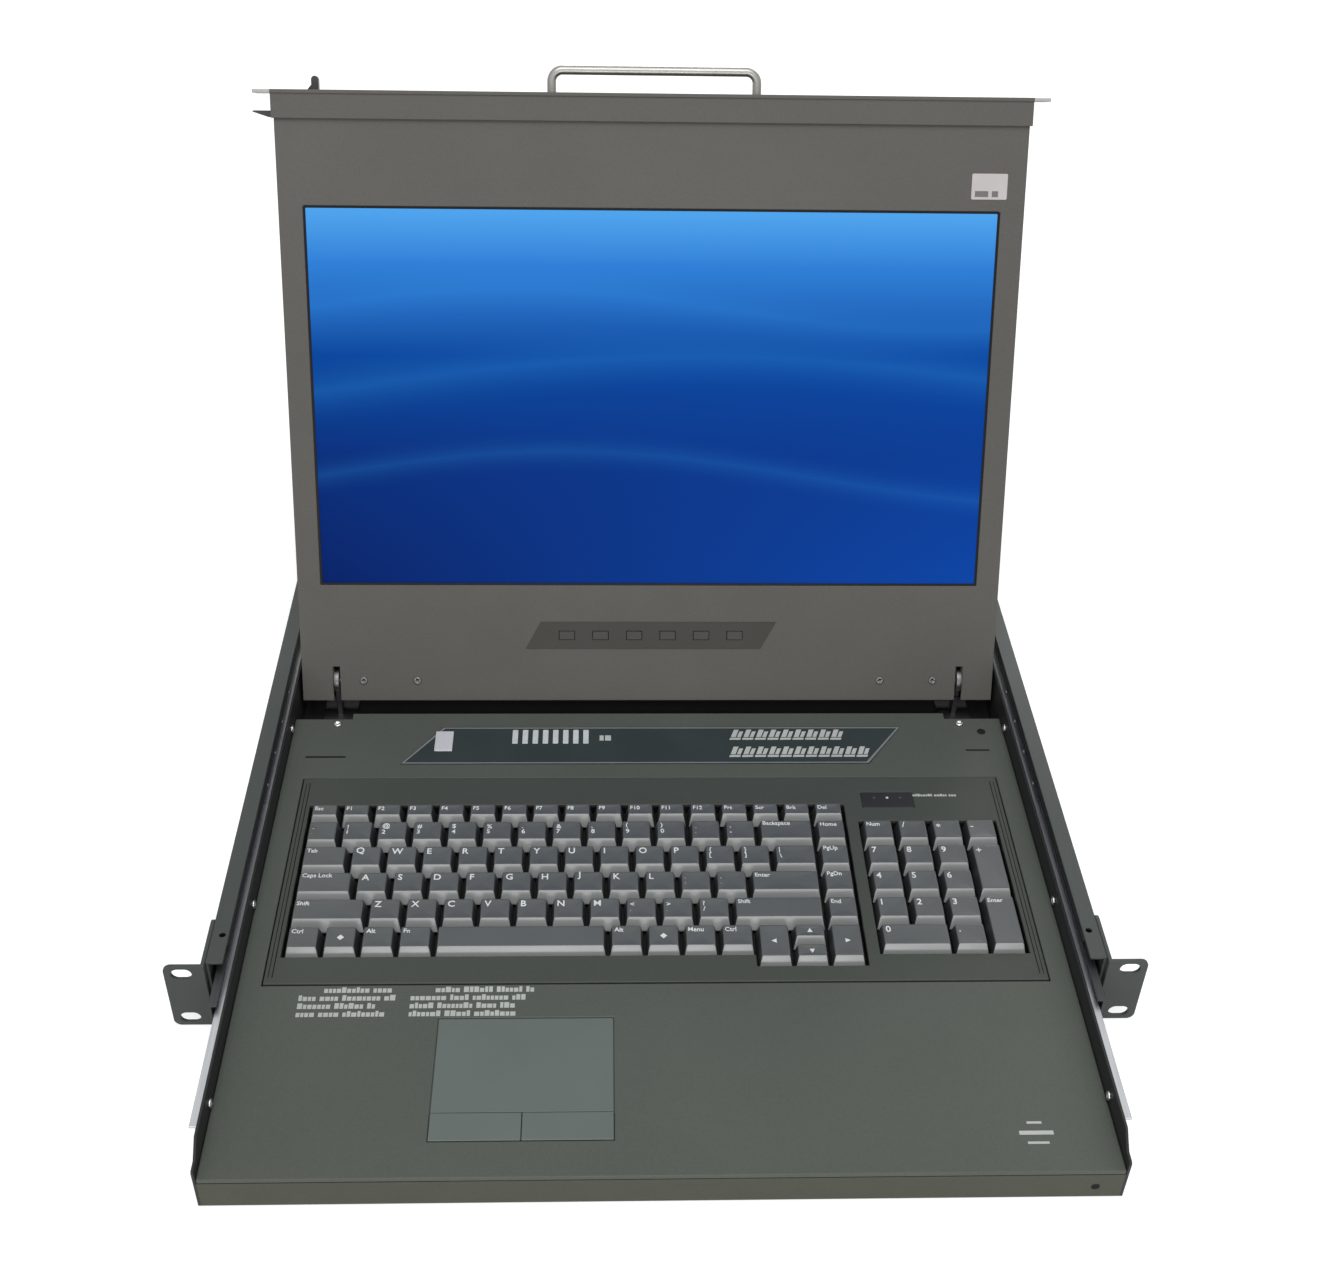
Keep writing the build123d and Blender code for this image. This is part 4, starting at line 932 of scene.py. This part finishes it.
def make_lights():
    """The lock-light window and the channel lights, each a rounded lens with a glow behind it."""
    bm = bmesh.new()
    dark, bright, dim = 0, 1, 2
    for low, high in loose_parts("indicator_lenses"):
        is_window = high.x - low.x > window_length
        corner = window_corner if is_window else bar_corner
        outline = rounded_rectangle(low.x, high.x, low.y, high.y, corner)
        add_slab(bm, outline, low.z, high.z, material=dark if is_window else bright, edge=lens_edge)
        if is_window:
            for index, light in ((1, dim), (2, bright), (3, dim)):
                x = low.x + index * (high.x - low.x) / 4
                y = (low.y + high.y) / 2 + lock_light_rise
                add_print(bm, disc(lock_light_radius, x, y, 16), material=light, level=high.z)
    redraw("indicator_lenses", "indicator_lights", bm, ["lens", "light_bar", "membrane_button"])


def add_print_line(bm, turns, matrix, x0, x1, y, height):
    """A line of print too fine to read: upright strokes in groups as long as words."""
    x = x0
    while x < x1:
        word_end = min(x1, x + turns.uniform(2.0, 6.0) * height)
        while x < word_end:
            width = turns.uniform(0.4, 0.75) * height
            rise = height * turns.choice((0.75, 0.75, 1.0))
            add_print(bm, bar(x, x + width, y, y + rise), matrix)
            x += width + 0.12 * height
        x += 0.45 * height


def make_prints():
    """The deck's and the switch panel's prints, as lines and marks that spell nothing."""
    turns = random.Random(4)
    bm = bmesh.new()
    for x0, x1 in notice_columns:
        for row in range(4):
            start = x0 + (notice_indent if row == 3 else 0.0)
            end = x1 - turns.uniform(0.0, 0.2) * (x1 - x0)
            add_print_line(bm, turns, on_deck, start, end, notice_y + notice_step * row, notice_height)
    for half, y, height in corner_mark:
        add_print(bm, bar(corner_mark_x - half, corner_mark_x + half, y, y + height), on_deck)
    for first, count, y in panel_sign_rows:
        for index in range(count):
            x = first + panel_sign_step * index
            for x0, x1, y0, y1, lean in panel_sign:
                add_print(bm, bar(x + x0, x + x1, y + y0, y + y1, lean), on_panel)
    add_print_line(bm, turns, on_panel, *panel_word)
    add_print_line(bm, turns, on_keyboard, *keyboard_word)
    make_piece("drawer_prints", bm, "drawer", ["print_ink"])


def make_painted_slot_shade():
    """Two short slots and a hole in the deck behind the keyboard, drawn as flat dark prints: painted shade where
    the openings are.
    """
    bm = bmesh.new()
    for x0, x1, y in deck_slots:
        add_print(bm, bar(x0, x1, y - deck_slot_half, y + deck_slot_half), on_deck)
    x, y = deck_hole
    add_print(bm, disc(deck_hole_radius * MM, x * MM, y * MM), on_deck)
    make_piece("deck_slots", bm, "drawer", ["gasket_and_painted_shade"])


def print_edges(node, inset):
    """The left, right, front and back edge of a piece from above, inset, in the prints' millimetres."""
    low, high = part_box(node)
    return (low.x / MM + inset, high.x / MM - inset, (low.y - deck_low.y) / MM + inset,
            (high.y - deck_low.y) / MM - inset)


def make_panel_outline():
    """A thin paler line round the switch panel."""
    lean, width = panel_lean, panel_line_width
    x0, x1, y0, y1 = print_edges("control_panel", panel_line_inset)
    x1 -= lean
    slope = lean / (y1 - y0)
    inner = [(x0 + 2 * width, y0 + width), (x1 - 2 * width + slope, y0 + width),
             (x1 + lean - 2 * width, y1 - width), (x0 + lean + 2 * width - slope, y1 - width)]
    bm = bmesh.new()
    add_ring(bm, bar(x0, x1, y0, y1, lean), [(x * MM, y * MM) for x, y in inner], 0.0, print_thickness,
             on_panel)
    make_piece("panel_outline", bm, "drawer", ["outline_ink"])


def make_sticker():
    """A small pale sticker, left blank but for two plain grey blocks, on the bezel's upper right."""
    bm = bmesh.new()
    outline = rounded_rectangle(*[edge * MM for edge in sticker], 0.8 * MM)
    add_slab(bm, outline, 0.0, sticker_thickness, on_bezel, 0, sticker_thickness / 3)
    for x0, x1 in sticker_blocks:
        add_print(bm, bar(x0, x1, *sticker_block_rows), on_bezel, 1, sticker_thickness)
    make_piece("blank_sticker", bm, "display", ["label_paper", "label_print"])


def make_gasket():
    """The black rim between the bezel's opening and the screen."""
    low, high = box_on_display("screen_panel")
    border, rim, depth, step = 1.5 * MM, 1.3 * MM, 0.9 * MM, 0.25 * MM

    def outline(inset, corner):
        return rounded_rectangle(low.x + inset, high.x - inset, low.z + inset, high.z - inset, corner)

    bm = bmesh.new()
    add_ring(bm, outline(border, 0.8 * MM), outline(border + rim, 0.5 * MM), -depth, -step, on_bezel)
    make_piece("screen_gasket", bm, "display", ["gasket_and_painted_shade"])


def make_frame_lines():
    """Fine grooves along the strips of the keyboard's frame to the left and right of the keys, drawn as flat dark
    lines: painted shade where the grooves are.
    """
    bm = bmesh.new()
    left, right = print_edges("keyboard_base", 0.0)[:2]
    y0, y1 = print_edges("keyboard_base", groove_gap)[2:]
    first_key, last_key = print_edges("modifier_keys", 0.0)[0], print_edges("keypad_keys", 0.0)[1]
    for edge, key in ((left, first_key), (right, last_key)):
        for share, width in grooves:
            x = edge + share * (key - edge)
            add_print(bm, bar(x - width / 2, x + width / 2, y0, y1), on_keyboard)
    make_piece("frame_lines", bm, "drawer", ["gasket_and_painted_shade"])


def make_front_lamp():
    """A small dark lens in a ring on the tray's front."""
    x, z, rim, lens, root = 196.7 * MM, -13.8 * MM, 2.2 * MM, 1.6 * MM, 0.1 * MM
    place = facing((x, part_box("tray")[0].y, z), (0, -1, 0))
    bm = bmesh.new()
    add_ring(bm, disc(rim), disc(lens), -root, print_thickness / 4, place)
    add_slab(bm, disc(lens), -root, print_thickness / 8, place, 1)
    make_piece("front_lamp", bm, "drawer", ["gasket_and_painted_shade", "black_and_hole_shade"])


for make in (make_lights, make_prints, make_painted_slot_shade, make_panel_outline, make_sticker, make_gasket,
             make_frame_lines, make_front_lamp):
    make()


# The latch, in millimetres on the display

latch_bar_height = 3.6
thumb_left = -188.0
thumb_right = -184.0
flare_height = 2.5
flare_reach = 2.2
plate_gap = 0.3
tongue_nose = (0.6, 0.7)
tongue_taper = 9.0
latch_edge = 0.25 * MM


def latch_outline(low, high):
    """A bar, a tongue that tapers to its upper edge and a round-topped thumb piece with a flare."""
    bar_top = low.z + latch_bar_height
    radius = (thumb_right - thumb_left) / 2
    outline = [(high.x, low.z), (high.x, bar_top), (thumb_right, bar_top)]
    for step in range(9):
        angle = math.radians(180 * step / 8)
        outline.append((thumb_left + radius + radius * math.cos(angle),
                        high.z - radius + radius * math.sin(angle)))
    plate_top = box_on_display("front_plate")[1].z / MM + plate_gap
    outline += [(thumb_left, plate_top + flare_height), (thumb_left - flare_reach, plate_top),
                (thumb_left, plate_top), (thumb_left, bar_top)]
    outline += [(low.x + tongue_nose[0], bar_top), (low.x, bar_top - tongue_nose[1]),
                (low.x + tongue_taper, low.z)]
    return outline


def make_latch():
    low, high = (corner / MM for corner in box_on_display("latch_slider"))
    bm = bmesh.new()
    face = bm.faces.new([bm.verts.new(on_display @ Vector((x * MM, low.y * MM, z * MM)))
                         for x, z in latch_outline(low, high)])
    raised = bmesh.ops.extrude_face_region(bm, geom=[face])["geom"]
    shift = on_display.to_3x3() @ Vector((0, (high.y - low.y) * MM, 0))
    bmesh.ops.translate(bm, vec=shift, verts=[v for v in raised if isinstance(v, bmesh.types.BMVert)])
    bm.normal_update()
    bmesh.ops.recalc_face_normals(bm, faces=bm.faces)
    ease_edges(bm, latch_edge)
    redraw("latch_slider", "latch_detailed", bm, [look_of["latch_slider"]])


make_latch()


# Connectors and screws at the back

shell_width = 17.0 * MM
shell_height = 8.4 * MM
shell_corner = 1.6 * MM
shell_slant = 0.12
shell_wall = 0.5 * MM
shell_out = 6.0 * MM
insert_gap = 0.1 * MM
insert_drop = 0.8 * MM
insert_edge = 0.15 * MM
pin_radius = 0.5 * MM
pin_pitch = 2.3 * MM
pin_row_pitch = 1.9 * MM
flange_half = 6.25 * MM
flange_thickness = 1.0 * MM
nut_reach = 12.6 * MM
nut_radius = 2.6 * MM
nut_height = 4.0 * MM
nut_bore = 1.3 * MM
nut_floor = 1.0 * MM
cover_inset = Vector((12 * MM, 10 * MM))
inlet_inset = 2.5 * MM


def d_outline(inset):
    """A D-shaped outline, narrower at the bottom, inset by a distance."""
    half_x, half_y = shell_width / 2 - inset, shell_height / 2 - inset
    points = rounded_rectangle(-half_x, half_x, -half_y, half_y, max(shell_corner - inset, shell_wall))
    return [(x * (1 - shell_slant * (half_y - y) / half_y), y) for x, y in points]


def hexagon(radius, x):
    """A hexagon with as many points as its bore."""
    half = math.pi / 6
    return polar(lambda angle: radius * math.cos(half) / math.cos(angle % (2 * half) - half), x)


def add_connector(bm, low, high, sheet, face):
    """A video connector in a sheet: its flange, body, hollow shell, insert with pin holes and two nuts."""
    metal, blue, black = 0, 1, 2
    middle_x, middle_z, half = (low.x + high.x) / 2, high.z - flange_half, (high.x - low.x) / 2
    place = facing((middle_x, face, middle_z), (0, 1, 0))
    insert_top = shell_out - insert_drop
    flange = rounded_rectangle(-half, half, -flange_half, flange_half, 1.0 * MM)
    add_slab(bm, flange, -sheet - flange_thickness, -sheet, place, metal, 0.1 * MM)
    body = [(-shell_width / 2, low.z - middle_z), (shell_width / 2, low.z - middle_z),
            (shell_width / 2, shell_height / 2), (-shell_width / 2, shell_height / 2)]
    add_slab(bm, body, low.y - face, -sheet - flange_thickness, place, black)
    add_ring(bm, d_outline(0.0), d_outline(shell_wall), -sheet, shell_out, place)
    add_slab(bm, d_outline(shell_wall + insert_gap), -sheet, insert_top, place, blue, insert_edge)
    # The pin holes are flat black discs, painted shade where the holes are; the black floors in the nuts' bores
    # are painted shade too.
    for row in (-1, 0, 1):
        for index in (-2, -1, 0, 1, 2):
            x, y = (index + 0.25 * row) * pin_pitch, row * pin_row_pitch
            add_print(bm, disc(pin_radius, x, y, 12), place, black, insert_top)
    for x in (-nut_reach, nut_reach):
        add_ring(bm, hexagon(nut_radius, x), disc(nut_bore, x), 0.0, nut_height, place)
        bore = [(px * 1.02, py) for px, py in disc(nut_bore, x)]
        add_slab(bm, bore, 0.0, nut_floor, place, black)


def make_connectors():
    bm = bmesh.new()
    panel_in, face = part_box("rear_panel")[0].y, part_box("rear_panel")[1].y
    for low, high in loose_parts("port_connectors"):
        add_connector(bm, low, high, face - panel_in, face)
    redraw("port_connectors", "video_connectors", bm, ["connector_metal", "connector_blue", "black_and_hole_shade"])


def make_rear_screws():
    """Small screws that hold the bay's cover and the inlet."""
    turns = random.Random(11)
    bm = bmesh.new()
    low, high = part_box("bay_cover")
    for x in (low.x + cover_inset.x, 0.0, high.x - cover_inset.x):
        for y in (low.y + cover_inset.y, high.y - cover_inset.y):
            add_screw(bm, facing((x, y, high.z), (0, 0, 1), turns.uniform(0, math.pi)), 2.7 * MM, 1.1 * MM)
    low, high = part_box("power_inlet")
    for x in (low.x + inlet_inset, high.x - inlet_inset):
        place = facing((x, high.y, (low.z + high.z) / 2), (0, 1, 0), turns.uniform(0, math.pi))
        add_screw(bm, place, 1.8 * MM, 0.9 * MM)
    make_piece("rear_screws", bm, "drawer", ["screw_black"])


make_connectors()
make_rear_screws()


# Camera, lights, floor and background

ambient = 0.34
floor_half = 6.0
floor_drop = 0.5 * MM
floor_grey = (0.62, 0.62, 0.62)
near_glow, near_reach = 0.68, 1.2
far_glow, far_reach = 0.80, 3.6


def make_camera():
    look = Vector((math.sin(camera_yaw) * math.cos(camera_pitch),
                   math.cos(camera_yaw) * math.cos(camera_pitch), -math.sin(camera_pitch)))
    level = look.cross(Vector((0, 0, 1))).normalized()
    raised = level.cross(look)
    right = math.cos(camera_roll) * level + math.sin(camera_roll) * raised
    up = math.cos(camera_roll) * raised - math.sin(camera_roll) * level
    data = bpy.data.cameras.new("camera")
    data.sensor_fit = "HORIZONTAL"
    data.sensor_width = sensor_width
    data.lens = focal_in_pixels / photo_width * sensor_width
    data.clip_start = 0.01
    camera = bpy.data.objects.new("camera", data)
    turned = Matrix((right, up, -look)).transposed().to_4x4()
    camera.matrix_world = Matrix.Translation(camera_place) @ turned
    bpy.context.scene.collection.objects.link(camera)
    bpy.context.scene.camera = camera


def make_softbox(name, place, target, width, height, watts):
    data = bpy.data.lights.new(name, "AREA")
    data.shape = "RECTANGLE"
    data.size = width
    data.size_y = height
    data.energy = watts
    lamp = bpy.data.objects.new(name, data)
    direction = (Vector(target) - Vector(place)).to_track_quat("-Z", "Y")
    lamp.matrix_world = Matrix.Translation(place) @ direction.to_matrix().to_4x4()
    bpy.context.scene.collection.objects.link(lamp)


def make_world():
    """An even white surround, dimmer where it lights the object than where it is seen."""
    world = bpy.data.worlds.new("studio")
    surround = Nodes(world)
    background = surround.tree.nodes["Background"]
    surround.feed(white, background.inputs["Color"])
    surround.feed(surround.span(surround.seen_directly(), ambient, 1.0), background.inputs["Strength"])
    bpy.context.scene.world = world


def make_floor():
    """A pale floor that shows white to the camera and keeps the object's shadow."""
    height = cad_box[0].z - floor_drop
    places = [(x * floor_half, y * floor_half, height) for x, y in ((-1, -1), (1, -1), (1, 1), (-1, 1))]
    mesh = bpy.data.meshes.new("floor")
    mesh.from_pydata(places, [], [(0, 1, 2, 3)])
    floor = bpy.data.objects.new("floor", mesh)
    bpy.context.scene.collection.objects.link(floor)
    look = Finish("floor", 0.9, specular=0.0)
    distance = look.add("ShaderNodeVectorMath", {0: look.place}, operation="LENGTH").outputs["Value"]
    glow = look.span(distance, near_glow, far_glow, near_reach, far_reach)
    look.light(white, look.math("MULTIPLY", look.seen_directly(), glow))
    look.finish(floor_grey)
    mesh.materials.append(look.material)


make_camera()
make_world()
make_softbox("front_softbox", (-0.1, -1.9, 0.28), (0, 0.05, 0.0), 1.1, 0.45, 10.0)
make_softbox("top_softbox", (0.0, -0.5, 2.0), (0, 0.1, 0.0), 1.4, 1.4, 24.0)
make_softbox("rear_softbox", (0.5, 2.6, 0.8), (0.0, 0.4, 0.1), 1.6, 0.8, 22.0)
make_floor()
bpy.context.scene.view_settings.view_transform = "Standard"
